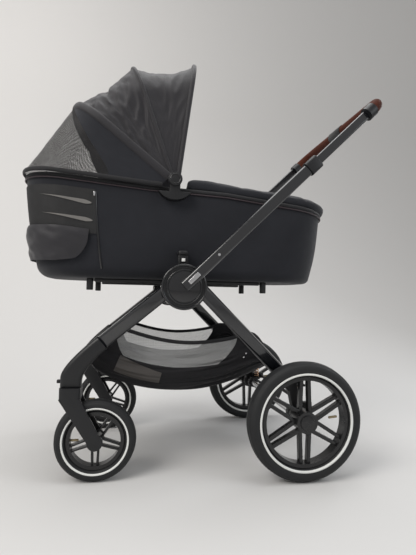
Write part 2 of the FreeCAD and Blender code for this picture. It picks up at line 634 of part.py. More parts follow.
def hood_panel(layer, first_angle, last_angle):
    band = hood_band(layer, PANEL_T, first_angle, last_angle)
    return band.cut(disc(HOOD_X, -300, 300, HOOD_Z, HOOD_EYE_REACH + 1))


def hood_bow(layer, angle):
    """One bow: a flat strip bent to a U, with an eye at each end round the pivot pin."""
    strip = hood_band(layer, BOW_T, angle - BOW_HALF_ANGLE, angle + BOW_HALF_ANGLE)
    half = HOOD_HALF_W - layer * HOOD_LAYER
    leg = placed_bar((HOOD_X, HOOD_Z), angle, HOOD_EYE_REACH, 2 * BOW_DEPTH, BOW_T, 0.5,
                     half - BOW_T / 2)
    eye = disc(HOOD_X, half - BOW_T, half, HOOD_Z, 2 * BOW_DEPTH - 4)
    ear = leg.fuse(eye)
    bow = strip.fuse([ear, mirrored(ear)])
    return bow.cut(disc(HOOD_X, -300, 300, HOOD_Z, HOOD_PIN_R + RUN_CLEAR)).removeSplitter()


def make_hood():
    save("hood_rear_panel", hood_head_panel())
    save("hood_middle_panel", hood_panel(1, MID_BOW_ANGLE, REAR_BOW_ANGLE - BOW_HALF_ANGLE - 0.1))
    save("hood_front_panel", hood_panel(2, FRONT_BOW_ANGLE, MID_BOW_ANGLE - BOW_HALF_ANGLE - 0.1))
    save("hood_rear_bow", hood_bow(1, REAR_BOW_ANGLE))
    save("hood_middle_bow", hood_bow(2, MID_BOW_ANGLE))
    save("hood_front_bow", hood_bow(3, FRONT_BOW_ANGLE))
    plate_y = HOOD_HALF_W + 1.5
    pin = disc(HOOD_X, HOOD_HALF_W - 4 * HOOD_LAYER, plate_y, HOOD_Z, HOOD_PIN_R)
    plate = box(HOOD_X - 14, HOOD_X + 14, plate_y, plate_y + 4, RIM_Z_MIDDLE - 4, HOOD_Z)
    foot = disc(HOOD_X, COT_HALF_W - 14, plate_y + 4, HOOD_Z, HOOD_BASE_R)
    foot = foot.cut(box(HOOD_X - 60, HOOD_X + 60, 0, 300, RIM_Z_MIDDLE - 2, HOOD_Z + 60))
    foot = foot.cut(cot_block(0, 0)).cut(cot_block(-RIM_PROUD, 0).common(slab(-0.2, RIM_H)))
    knob = disc(HOOD_X, plate_y, plate_y + 10, HOOD_Z, HOOD_KNOB_R)
    save_group("hood_pivots", pin.fuse([plate, foot, knob]).removeSplitter())


def main():
    os.makedirs("parts", exist_ok=True)
    make_wheels()
    leg_end = make_rear_legs()
    make_rear_axle(leg_end)
    make_brake()
    make_hub()
    make_basket()
    make_knees(make_front_legs())
    make_casters()
    make_handle()
    make_push_bar()
    make_cot()
    make_hood()


main()
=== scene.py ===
"""The looks of a baby stroller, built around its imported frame: tyres, cloth, leather and trim."""
import json
import logging
import math
from dataclasses import dataclass
from enum import Enum
from typing import Callable, Optional

import bpy
from mathutils import Matrix, Vector, noise

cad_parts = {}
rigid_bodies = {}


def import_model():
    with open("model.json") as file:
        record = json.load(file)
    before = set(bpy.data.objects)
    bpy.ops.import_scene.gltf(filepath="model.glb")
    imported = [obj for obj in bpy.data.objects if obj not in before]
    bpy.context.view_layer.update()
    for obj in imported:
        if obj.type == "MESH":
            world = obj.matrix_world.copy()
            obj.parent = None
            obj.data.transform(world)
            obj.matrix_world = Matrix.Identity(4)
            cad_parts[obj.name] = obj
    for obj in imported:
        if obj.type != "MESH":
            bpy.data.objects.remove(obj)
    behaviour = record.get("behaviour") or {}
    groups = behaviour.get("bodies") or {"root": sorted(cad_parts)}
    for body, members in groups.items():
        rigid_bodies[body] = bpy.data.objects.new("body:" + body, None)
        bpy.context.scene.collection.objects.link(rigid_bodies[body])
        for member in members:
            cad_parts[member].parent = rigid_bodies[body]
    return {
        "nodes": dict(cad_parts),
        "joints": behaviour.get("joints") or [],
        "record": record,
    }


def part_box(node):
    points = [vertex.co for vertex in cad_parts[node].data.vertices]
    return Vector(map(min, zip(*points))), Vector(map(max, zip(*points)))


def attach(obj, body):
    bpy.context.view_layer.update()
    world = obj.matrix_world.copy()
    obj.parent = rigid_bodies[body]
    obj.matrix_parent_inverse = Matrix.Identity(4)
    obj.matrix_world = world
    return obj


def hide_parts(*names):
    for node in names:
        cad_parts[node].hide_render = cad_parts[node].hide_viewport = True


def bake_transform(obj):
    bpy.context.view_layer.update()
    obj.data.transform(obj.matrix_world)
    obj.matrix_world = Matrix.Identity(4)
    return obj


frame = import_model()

LOG = logging.getLogger("stroller")
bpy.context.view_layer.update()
SIDES = {"left": -1.0, "right": 1.0}
Place = Callable[[float, float], Vector]
Path = Callable[[float], Vector]
Piece = bpy.types.Object
Socket = bpy.types.NodeSocket


class Pattern(Enum):
    """The kinds of fine surface detail that a finish can have."""

    WOVEN = "woven"
    MOULDED = "moulded"
    PAINTED = "painted"
    GRAINED = "grained"
    RUBBER = "rubber"
    NETTING = "netting"
    METAL = "metal"


@dataclass
class Wiring:
    """The nodes of one material while it is put together."""

    tree: bpy.types.NodeTree

    def __post_init__(self) -> None:
        """Start from the coordinates of the object itself."""
        self.place = self.add("ShaderNodeTexCoord", {}).outputs["Object"]

    def add(self, kind: str, values: dict, **settings: str) -> bpy.types.Node:
        """Add a node.

        Args:
            kind: The kind of node.
            values: What its sockets get.
            settings: The node's own choices.

        Returns:
            The node.
        """
        node = self.tree.nodes.new(kind)
        for name, setting in settings.items():
            setattr(node, name, setting)
        self.feed(node, values)
        return node

    def feed(self, node: bpy.types.Node, values: dict) -> None:
        """Link other nodes to a node's sockets, or set the sockets' own values.

        Args:
            node: The node.
            values: A socket to link from or a value to set, by the socket's name or place.
        """
        for name, value in values.items():
            if isinstance(value, Socket):
                self.tree.links.new(value, node.inputs[name])
            else:
                node.inputs[name].default_value = value

    def noise(self, scale: float, detail: float) -> Socket:
        """Add soft noise.

        Args:
            scale: Lumps for each metre.
            detail: How much finer noise is laid on it.

        Returns:
            The noise value.
        """
        return self.add("ShaderNodeTexNoise", {"Vector": self.place, "Scale": scale,
                                               "Detail": detail}).outputs["Fac"]

    def math(self, operation: str, first: Socket,
             second: Socket | float) -> Socket:
        """Add one arithmetic node.

        Args:
            operation: The name of the operation.
            first: The first value.
            second: The second value, a socket or a number.

        Returns:
            The result.
        """
        return self.add("ShaderNodeMath", {0: first, 1: second},
                        operation=operation).outputs["Value"]

    def threads(self, axis: str, size: float) -> Socket:
        """Add a row of parallel threads.

        Args:
            axis: The direction across the threads.
            size: The distance from thread to thread.

        Returns:
            The height of the threads.
        """
        return self.add("ShaderNodeTexWave", {"Vector": self.place, "Scale": 0.314 / size,
                                              "Distortion": 0.6, "Detail": 1.0},
                        bands_direction=axis).outputs["Fac"]


@dataclass(frozen=True)
class Finish:
    """One finish: its colour, its gloss and its fine surface detail."""

    name: str
    color: tuple[float, float, float]
    roughness: float
    pattern: Pattern
    second: Optional[tuple[float, float, float]] = None
    metallic: float = 0.0
    coat: float = 0.0
    sheen: float = 0.0
    bump: float = 0.25
    size: float = 0.0015
    specular: float = 0.5
    hole: float = 0.0

    def material(self) -> bpy.types.Material:
        """Give the finish's material, making it the first time.

        Returns:
            The node material.
        """
        found = bpy.data.materials.get(self.name)
        if found:
            return found
        made = bpy.data.materials.new(self.name)
        made.use_nodes = True
        self._wire(made.node_tree)
        return made

    def _wire(self, tree: bpy.types.NodeTree) -> None:
        """Build the nodes.

        Args:
            tree: The material's node tree.
        """
        wiring = Wiring(tree)
        fine = self._detail(wiring)
        second = self.second or tuple(c * 1.5 + 0.002 for c in self.color)
        mix = wiring.add("ShaderNodeMixRGB", {
            "Fac": wiring.math("MULTIPLY", wiring.noise(9.0, 3.0), fine),
            "Color1": (*self.color, 1.0), "Color2": (*second, 1.0)})
        gloss = wiring.add("ShaderNodeMapRange", {
            "Value": wiring.noise(40.0, 5.0), "To Min": max(0.03, self.roughness - 0.08),
            "To Max": min(1.0, self.roughness + 0.1)})
        relief = wiring.add("ShaderNodeBump", {
            "Height": fine, "Strength": self.bump, "Distance": self.size * 0.4})
        shader = next(n for n in tree.nodes if n.type == "BSDF_PRINCIPLED")
        wiring.feed(shader, {
            "Base Color": mix.outputs["Color"], "Roughness": gloss.outputs["Result"],
            "Normal": relief.outputs["Normal"], "Metallic": self.metallic,
            "Coat Weight": self.coat, "Sheen Weight": self.sheen, "Sheen Roughness": 0.45,
            "Specular IOR Level": self.specular})
        if self.pattern is Pattern.NETTING:
            solid = wiring.math("MAXIMUM", wiring.threads("X", self.size),
                                wiring.threads("Z", self.size))
            wiring.feed(shader, {"Alpha": wiring.math("GREATER_THAN", solid, self.hole)})

    def _detail(self, wiring: Wiring) -> Socket:
        """Add the finish's fine detail.

        Args:
            wiring: The material's nodes.

        Returns:
            The height of the detail.
        """
        if self.pattern in (Pattern.WOVEN, Pattern.NETTING):
            return wiring.math("MAXIMUM", wiring.threads("DIAGONAL", self.size),
                               wiring.threads("Z", self.size))
        if self.pattern in (Pattern.GRAINED, Pattern.RUBBER):
            cells = wiring.add("ShaderNodeTexVoronoi", {"Vector": wiring.place,
                                                        "Scale": 1.0 / self.size})
            return cells.outputs["Distance"]
        coarse = 0.35 if self.pattern is Pattern.METAL else 1.0
        return wiring.noise(coarse / self.size, 2.0)


SHELL_CLOTH = Finish("shell_cloth", (0.0130, 0.0138, 0.0175), 0.84, Pattern.WOVEN, sheen=0.16,
                     second=(0.022, 0.0233, 0.0290), size=0.0011, bump=0.4, specular=0.22)
HOOD_CLOTH = Finish("hood_cloth", (0.0100, 0.0093, 0.0118), 0.60, Pattern.WOVEN, sheen=0.22,
                    second=(0.019, 0.0175, 0.0215), size=0.0010, bump=0.35, specular=0.32)
FLAP_CLOTH = Finish("flap_cloth", (0.0105, 0.0098, 0.0130), 0.50, Pattern.WOVEN, sheen=0.15,
                    second=(0.017, 0.0160, 0.0205), size=0.0009, bump=0.3, specular=0.42)
BASKET_CLOTH = Finish("basket_cloth", (0.0065, 0.0063, 0.0075), 0.72, Pattern.WOVEN, sheen=0.1,
                      second=(0.011, 0.0107, 0.0125), size=0.0011, bump=0.4, specular=0.25)
POCKET_CLOTH = Finish("pocket_cloth", (0.030, 0.026, 0.023), 0.38, Pattern.WOVEN, size=0.0013,
                      second=(0.046, 0.040, 0.036), bump=0.3, specular=0.6)
BINDING = Finish("edge_binding", (0.0085, 0.0085, 0.0098), 0.7, Pattern.WOVEN, size=0.0008,
                 second=(0.015, 0.015, 0.017), sheen=0.1, specular=0.3)
PIPING = Finish("seam_piping", (0.026, 0.016, 0.020), 0.5, Pattern.WOVEN, size=0.0008,
                second=(0.042, 0.027, 0.034))
LINING = Finish("soft_lining", (0.030, 0.030, 0.032), 0.9, Pattern.WOVEN, sheen=0.3, size=0.002,
                second=(0.045, 0.045, 0.047), bump=0.4)
NET = Finish("vent_netting", (0.014, 0.013, 0.0135), 0.7, Pattern.NETTING, size=0.0024, hole=0.90)
DENSE_NET = Finish("dense_netting", (0.010, 0.010, 0.011), 0.7, Pattern.NETTING, size=0.0018,
                   hole=0.30)
# Pale strips of painted light, standing for the light seen through the vent mesh.
VENT_PAINTED_LIGHT = Finish("slot_netting", (0.13, 0.125, 0.12), 0.8, Pattern.WOVEN, size=0.0018,
                  second=(0.20, 0.19, 0.18))
BASKET_NET = Finish("basket_netting", (0.34, 0.345, 0.345), 0.8, Pattern.NETTING, size=0.0021,
                    second=(0.42, 0.425, 0.425), hole=0.80)
PLASTIC = Finish("moulded_plastic", (0.0070, 0.0073, 0.0085), 0.40, Pattern.MOULDED, size=0.0007,
                 second=(0.0125, 0.013, 0.0145), bump=0.15, specular=0.4)
GLOSS = Finish("polished_plastic", (0.0045, 0.0048, 0.0060), 0.13, Pattern.MOULDED, size=0.0009,
               coat=0.3, bump=0.04)
PAINT = Finish("satin_paint", (0.0045, 0.0050, 0.0068), 0.20, Pattern.PAINTED, size=0.0006,
               second=(0.0065, 0.0072, 0.0092), coat=0.9, bump=0.04, metallic=0.1,
               specular=0.5)
RIM_PLASTIC = Finish("rim_plastic", (0.0060, 0.0062, 0.0069), 0.28, Pattern.MOULDED, size=0.0009,
                     second=(0.012, 0.0123, 0.0132), bump=0.08)
TYRE_RUBBER = Finish("tyre_rubber", (0.0100, 0.0106, 0.0116), 0.62, Pattern.RUBBER, size=0.0013,
                     second=(0.018, 0.0188, 0.0200), bump=0.3, specular=0.35)
PALE_RING = Finish("pale_ring", (0.74, 0.75, 0.73), 0.45, Pattern.RUBBER, size=0.001, bump=0.1,
                   second=(0.66, 0.67, 0.65))
LEATHER = Finish("brown_leather", (0.050, 0.0145, 0.0090), 0.62, Pattern.GRAINED, size=0.0016,
                 second=(0.115, 0.038, 0.023), bump=0.45, specular=0.06)
THREAD = Finish("stitch_thread", (0.16, 0.09, 0.06), 0.6, Pattern.WOVEN, size=0.0006)
STEEL = Finish("bright_steel", (0.56, 0.56, 0.57), 0.24, Pattern.METAL, size=0.002, metallic=1.0,
               bump=0.05, second=(0.48, 0.48, 0.49))
# Gold tint of the springs: a painted highlight on metal coils.
SPRING_PAINTED_GLINT = Finish("copper_spring", (0.62, 0.40, 0.26), 0.3, Pattern.METAL, size=0.002,
                metallic=1.0, bump=0.05, second=(0.45, 0.26, 0.16))
BRASS = Finish("brass_valve", (0.34, 0.27, 0.16), 0.35, Pattern.METAL, size=0.002, metallic=1.0,
               bump=0.05, second=(0.28, 0.22, 0.13))
WHITE = Finish("white_mark", (0.80, 0.80, 0.79), 0.5, Pattern.MOULDED, size=0.001, bump=0.05,
               second=(0.74, 0.74, 0.73))
STUDIO = Finish("studio_paper", (0.60, 0.596, 0.590), 0.95, Pattern.MOULDED, size=0.004, bump=0.02,
                second=(0.61, 0.606, 0.600), specular=0.05)


# ------------------------------------------------------------------ shop tools

def box(node: str) -> tuple[Vector, Vector]:
    """Give the low and the high corner of a frame piece.

    Args:
        node: The frame piece.

    Returns:
        The two corners.
    """
    low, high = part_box(node)
    return Vector(low), Vector(high)


def joint(name: str) -> dict:
    """Find a joint of the frame.

    Args:
        name: The joint's name.

    Returns:
        Its record.
    """
    return next(item for item in frame["joints"] if item["name"] == name)


def select(*pieces: Piece) -> None:
    """Select these pieces only, with the first one active.

    Args:
        pieces: The pieces, or none to deselect everything.
    """
    for item in list(bpy.context.selected_objects):
        item.select_set(False)
    for piece in pieces:
        piece.select_set(True)
    if pieces:
        bpy.context.view_layer.objects.active = pieces[0]


def take(name: str) -> Piece:
    """Name the object that an operator has just added.

    Args:
        name: The piece's name.

    Returns:
        The piece.
    """
    piece = bpy.context.active_object
    piece.name = name
    piece.data.name = name
    return piece


def apply_all(piece: Piece) -> None:
    """Apply every modifier on a piece.

    Args:
        piece: The piece.
    """
    select(piece)
    for modifier in list(piece.modifiers):
        bpy.ops.object.modifier_apply(modifier=modifier.name)


def bevel(piece: Piece, width: float, segments: int, degrees: float = 30.0) -> None:
    """Round a piece's edges.

    Args:
        piece: The piece.
        width: How far the edges are rounded.
        segments: The facets of each rounding.
        degrees: The smallest turn that counts as an edge.
    """
    soft = piece.modifiers.new("soft", "BEVEL")
    soft.width = width
    soft.segments = segments
    soft.angle_limit = math.radians(degrees)
    apply_all(piece)


def settle(piece: Piece) -> None:
    """Move a piece's place, turn and size into its mesh.

    Args:
        piece: The piece.
    """
    bpy.context.view_layer.update()
    piece.data.transform(piece.matrix_world)
    if piece.matrix_world.determinant() < 0:
        piece.data.flip_normals()
    piece.matrix_world = Matrix.Identity(4)


def edit(piece: Piece, *steps: Callable[[], object]) -> None:
    """Run operators on all of a piece's mesh in edit mode.

    Args:
        piece: The piece.
        steps: The operators to run, in order.
    """
    select(piece)
    bpy.ops.object.mode_set(mode="EDIT")
    bpy.ops.mesh.select_all(action="SELECT")
    for step in steps:
        step()
    bpy.ops.object.mode_set(mode="OBJECT")


def smooth(piece: Piece, degrees: float = 40.0) -> None:
    """Shade a piece smooth, with edges kept where it turns sharply.

    Args:
        piece: The piece.
        degrees: The sharpest turn that is still smooth.
    """
    select(piece)
    bpy.ops.object.shade_smooth_by_angle(angle=math.radians(degrees))


def dress(piece: Piece, finish: Finish, body: str = "") -> None:
    """Give a piece its material and the body that it rides on.

    Args:
        piece: The piece.
        finish: Its finish.
        body: The body, or nothing for a piece that lies across two bodies.
    """
    piece.data.materials.clear()
    piece.data.materials.append(finish.material())
    if body:
        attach(piece, body)


def grid(name: str, across: int, along: int, place: Place) -> Piece:
    """Shape a flat grid into a curved sheet.

    Args:
        name: The piece's name.
        across: The squares in the first direction.
        along: The squares in the second direction.
        place: Gives the point at two shares from 0 to 1.

    Returns:
        The sheet.
    """
    select()
    bpy.ops.mesh.primitive_grid_add(x_subdivisions=across, y_subdivisions=along, size=1.0)
    piece = take(name)
    for vertex in piece.data.vertices:
        vertex.co = place(vertex.co.x + 0.5, vertex.co.y + 0.5)
    return piece


def weld(piece: Piece, gap: float = 0.00005) -> None:
    """Join the points that lie together, and point the faces outwards.

    Args:
        piece: The piece.
        gap: How close points are before they join.
    """
    edit(piece, lambda: bpy.ops.mesh.remove_doubles(threshold=gap),
         lambda: bpy.ops.mesh.normals_make_consistent(inside=False))


def thicken(piece: Piece, amount: float, offset: float = -1.0) -> None:
    """Give a sheet its thickness.

    Args:
        piece: The sheet.
        amount: The thickness.
        offset: -1 grows it inwards, 1 outwards.
    """
    wall = piece.modifiers.new("wall", "SOLIDIFY")
    wall.thickness = amount
    wall.offset = offset
    apply_all(piece)


def tube(name: str, path: Path, wide: float, high: float, steps: int, sides: int = 10,
         closed: bool = False, up: Vector = Vector((0, 0, 1))) -> Piece:
    """Make a tube or band along a path.

    Args:
        name: The piece's name.
        path: Gives the middle line at a share from 0 to 1.
        wide: Half the width across the up direction.
        high: Half the height along the up direction.
        steps: The lengths that it is made of.
        sides: The faces around it.
        closed: Whether the path comes back to its start.
        up: The direction that the band stands in.

    Returns:
        The tube.
    """
    small = 0.5 / steps

    def place(u: float, v: float) -> Vector:
        """Give the surface point at a share along and a share around."""
        if closed:
            ahead = path((u + small) % 1.0) - path((u - small) % 1.0)
        else:
            ahead = path(min(1.0, u + small)) - path(max(0.0, u - small))
        side = ahead.cross(up).normalized()
        lift = side.cross(ahead).normalized()
        turn = v * math.tau
        return path(u % 1.0 if closed else u) + side * (wide * math.cos(turn)) + \
            lift * (high * math.sin(turn))

    piece = grid(name, steps, sides, place)
    edit(piece, lambda: bpy.ops.mesh.remove_doubles(threshold=0.00005))
    if not closed:
        edit(piece, lambda: bpy.ops.mesh.select_all(action="DESELECT"),
             lambda: bpy.ops.mesh.select_non_manifold(), lambda: bpy.ops.mesh.edge_face_add())
    edit(piece, lambda: bpy.ops.mesh.normals_make_consistent(inside=False))
    smooth(piece, 50.0)
    return piece


def peg(name: str, centre: Vector, radius: float, length: float, axis: str = "Y",
        edge: float = 0.0008) -> Piece:
    """Make a short round peg with softened ends.

    Args:
        name: The piece's name.
        centre: Its middle.
        radius: Its radius.
        length: Its length.
        axis: The direction of its length.
        edge: How far its ends are softened.

    Returns:
        The peg.
    """
    turn = {"X": (0, math.pi / 2, 0), "Y": (math.pi / 2, 0, 0), "Z": (0, 0, 0)}[axis]
    select()
    bpy.ops.mesh.primitive_cylinder_add(vertices=32, radius=radius, depth=length,
                                        location=centre, rotation=turn)
    piece = take(name)
    settle(piece)
    bevel(piece, edge, 2)
    smooth(piece)
    return piece


def hoop(name: str, centre: Vector, radius: float, thick: float, steps: int,
         sides: int) -> Piece:
    """Make a ring that stands upright, with its axis along Y.

    Args:
        name: The ring's name.
        centre: Its middle.
        radius: From its middle to the middle of its section.
        thick: The radius of its section.
        steps: The lengths that it is made of.
        sides: The faces around its section.

    Returns:
        The ring.
    """
    select()
    bpy.ops.mesh.primitive_torus_add(major_radius=radius, minor_radius=thick,
                                     major_segments=steps, minor_segments=sides,
                                     location=centre, rotation=(math.pi / 2, 0, 0))
    ring = take(name)
    settle(ring)
    smooth(ring, 60.0)
    return ring


def block(name: str, centre: Vector, size: Vector, edge: float,
          turn: float = 0.0) -> Piece:
    """Make a small block with softened edges.

    Args:
        name: The piece's name.
        centre: Its middle.
        size: Its length along X, Y and Z.
        edge: How far its edges are softened.
        turn: How far it is turned in the side view, in degrees.

    Returns:
        The block.
    """
    select()
    bpy.ops.mesh.primitive_cube_add(size=1.0, location=centre, scale=size,
                                    rotation=(0, -math.radians(turn), 0))
    piece = take(name)
    settle(piece)
    bevel(piece, edge, 3)
    smooth(piece)
    return piece


def cloth(name: str, squares: tuple[int, int], place: Place, thick: float, offset: float,
          finish: Finish, body: str) -> Piece:
    """Make a thin sheet that rides on one body.

    Args:
        name: The sheet's name.
        squares: The squares in its two directions.
        place: Gives the point at two shares from 0 to 1.
        thick: Its thickness.
        offset: 1 grows the thickness outwards, 0 to both sides.
        finish: Its finish.
        body: The body that it rides on.

    Returns:
        The sheet.
    """
    piece = grid(name, *squares, place)
    thicken(piece, thick, offset)
    smooth(piece, 60.0)
    dress(piece, finish, body)
    return piece


def join(name: str, pieces: list[Piece]) -> Piece:
    """Join several meshes into one piece.

    Args:
        name: The joined piece's name.
        pieces: What is joined.

    Returns:
        The one piece.
    """
    select(*pieces)
    bpy.ops.object.join()
    return take(name)


def softened(node: str, width: float, segments: int = 3) -> Piece:
    """Copy a frame piece and round its edges, as its moulding is.

    Args:
        node: The frame piece.
        width: How far its edges are rounded.
        segments: The facets of each rounding.

    Returns:
        The rounded piece, which stands for the frame piece.
    """
    source = frame["nodes"][node]
    piece = source.copy()
    piece.data = source.data.copy()
    piece.parent = None
    for key in list(piece.keys()):
        del piece[key]
    bpy.context.scene.collection.objects.link(piece)
    piece.name = node + "_moulded"
    piece.data.name = piece.name
    piece.matrix_world = source.matrix_world.copy()
    settle(piece)
    edit(piece, lambda: bpy.ops.mesh.remove_doubles(threshold=0.00002),
         lambda: bpy.ops.mesh.dissolve_limited(angle_limit=math.radians(1.0)))
    bevel(piece, width, segments, 35.0)
    smooth(piece, 35.0)
    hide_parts(node)
    return piece


def puff(piece: Piece, voxel: float, cap: float) -> None:
    """Swell a closed form as stuffing does, with cloth simulation.

    Args:
        piece: The closed form.
        voxel: The size of the remeshed squares.
        cap: How far a point may move.
    """
    select(piece)
    remesh = piece.modifiers.new("remesh", "REMESH")
    remesh.mode = "VOXEL"
    remesh.voxel_size = voxel
    apply_all(piece)
    before = [v.co.copy() for v in piece.data.vertices]
    cloth = piece.modifiers.new("cloth", "CLOTH")
    cloth.settings.use_pressure = True
    cloth.settings.uniform_pressure_force = 4.0
    cloth.settings.effector_weights.gravity = 0.0
    cloth.settings.quality = 4
    for number in range(1, 21):
        bpy.context.scene.frame_set(number)
    apply_all(piece)
    bpy.context.scene.frame_set(1)
    for vertex, old in zip(piece.data.vertices, before, strict=True):
        move = vertex.co - old
        if move.length > cap:
            vertex.co = old + move * (cap / move.length)


# ------------------------------------------------------------------ sub-assemblies

@dataclass
class Wheels:
    """The four air tyres with their pale rings, and the trim of the wheels."""

    ring_share: float = 0.803
    ring_half: float = 0.0034
    depth_share: float = 0.76
    groove: float = 0.0011
    blocks: int = 60
    major: int = 160
    minor: int = 48

    def __post_init__(self) -> None:
        """Set where each wheel's valve stands, in radians round the hub."""
        self.valve_turns = {"front": math.pi, "rear": 0.09}

    def build(self) -> None:
        """Make and dress all four wheels."""
        for side, sign in SIDES.items():
            for end in ("front", "rear"):
                self.tyre(end, side)
                self.ring(end, side)
                self.trim(end, side, sign)

    def sizes(self, end: str, side: str) -> tuple[Vector, float, float]:
        """Read a tyre's middle, radius and width from the frame.

        Args:
            end: Front or rear.
            side: Left or right.

        Returns:
            The middle, the outer radius and the width.
        """
        low, high = box(f"{end}_tyre_{side}")
        return (low + high) / 2, (high.z - low.z) / 2, high.y - low.y

    def tyre(self, end: str, side: str) -> None:
        """Make one tyre with a ribbed tread.

        Args:
            end: Front or rear.
            side: Left or right.
        """
        centre, radius, width = self.sizes(end, side)
        depth = width * self.depth_share
        middle = radius - depth / 2
        select()
        bpy.ops.mesh.primitive_torus_add(major_radius=1.0, minor_radius=0.25,
                                         major_segments=self.major, minor_segments=self.minor)
        piece = take(f"{end}_tyre_ribbed_{side}")
        for vertex in piece.data.vertices:
            reach = math.hypot(vertex.co.x, vertex.co.y)
            turn = math.atan2(vertex.co.z, reach - 1.0)
            heading = math.atan2(vertex.co.y, vertex.co.x)
            out = math.copysign(abs(math.cos(turn)) ** 0.85, math.cos(turn))
            flat = math.copysign(abs(math.sin(turn)) ** 0.8, math.sin(turn))
            tread = math.cos(turn) > 0.45
            rib = self.groove * (math.sin(turn * 18) ** 2 if tread else 0.0)
            zigzag = 0.5 + 0.5 * math.sin(heading * self.blocks + turn * 6)
            rib += self.groove * 0.5 * zigzag if 0.45 < math.cos(turn) < 0.86 else 0.0
            distance = middle + out * depth / 2 - rib
            vertex.co = centre + Vector((distance * math.cos(heading), flat * width / 2,
                                         distance * math.sin(heading)))
        weld(piece)
        smooth(piece, 60.0)
        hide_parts(f"{end}_tyre_{side}")
        dress(piece, TYRE_RUBBER, f"{end}_wheel_{side}")

    def ring(self, end: str, side: str) -> None:
        """Make the pale ring on a tyre's outer wall, and its twin on the inner wall.

        Args:
            end: Front or rear.
            side: Left or right.
        """
        centre, radius, width = self.sizes(end, side)
        rings = []
        for face in (-1.0, 1.0):
            spot = centre + Vector((0, face * (width * 0.445 - 0.0010), 0))
            rings.append(hoop(f"ring_{face}", spot, radius * self.ring_share, self.ring_half,
                              self.major, 10))
        piece = join(f"{end}_pale_ring_{side}", rings)
        dress(piece, PALE_RING, f"{end}_wheel_{side}")

    def trim(self, end: str, side: str, sign: float) -> None:
        """Make a wheel's valve, and the hub cap of a rear wheel.

        Args:
            end: Front or rear.
            side: Left or right.
            sign: The outward direction along Y.
        """
        centre, radius, _ = self.sizes(end, side)
        body = f"{end}_wheel_{side}"
        low, high = box(f"{end}_rim_{side}")
        if end == "rear":
            face = high.y if sign > 0 else low.y
            cap = peg(f"rear_hub_cap_{side}", Vector((centre.x, face + sign * 0.0012, centre.z)),
                      radius * 0.125, 0.0050, "Y", 0.002)
            dress(cap, RIM_PLASTIC, body)
        turn = self.valve_turns[end]
        reach = radius * 0.52
        spot = centre + Vector((reach * math.cos(turn), 0, reach * math.sin(turn)))
        valve = peg(f"{end}_valve_{side}", Vector((0, 0, 0)), 0.0030, 0.022, "Z", 0.0006)
        valve.data.transform(Matrix.Translation(spot) @ Matrix.Rotation(math.pi / 2 - turn, 4, "Y"))
        dress(valve, BRASS, body)


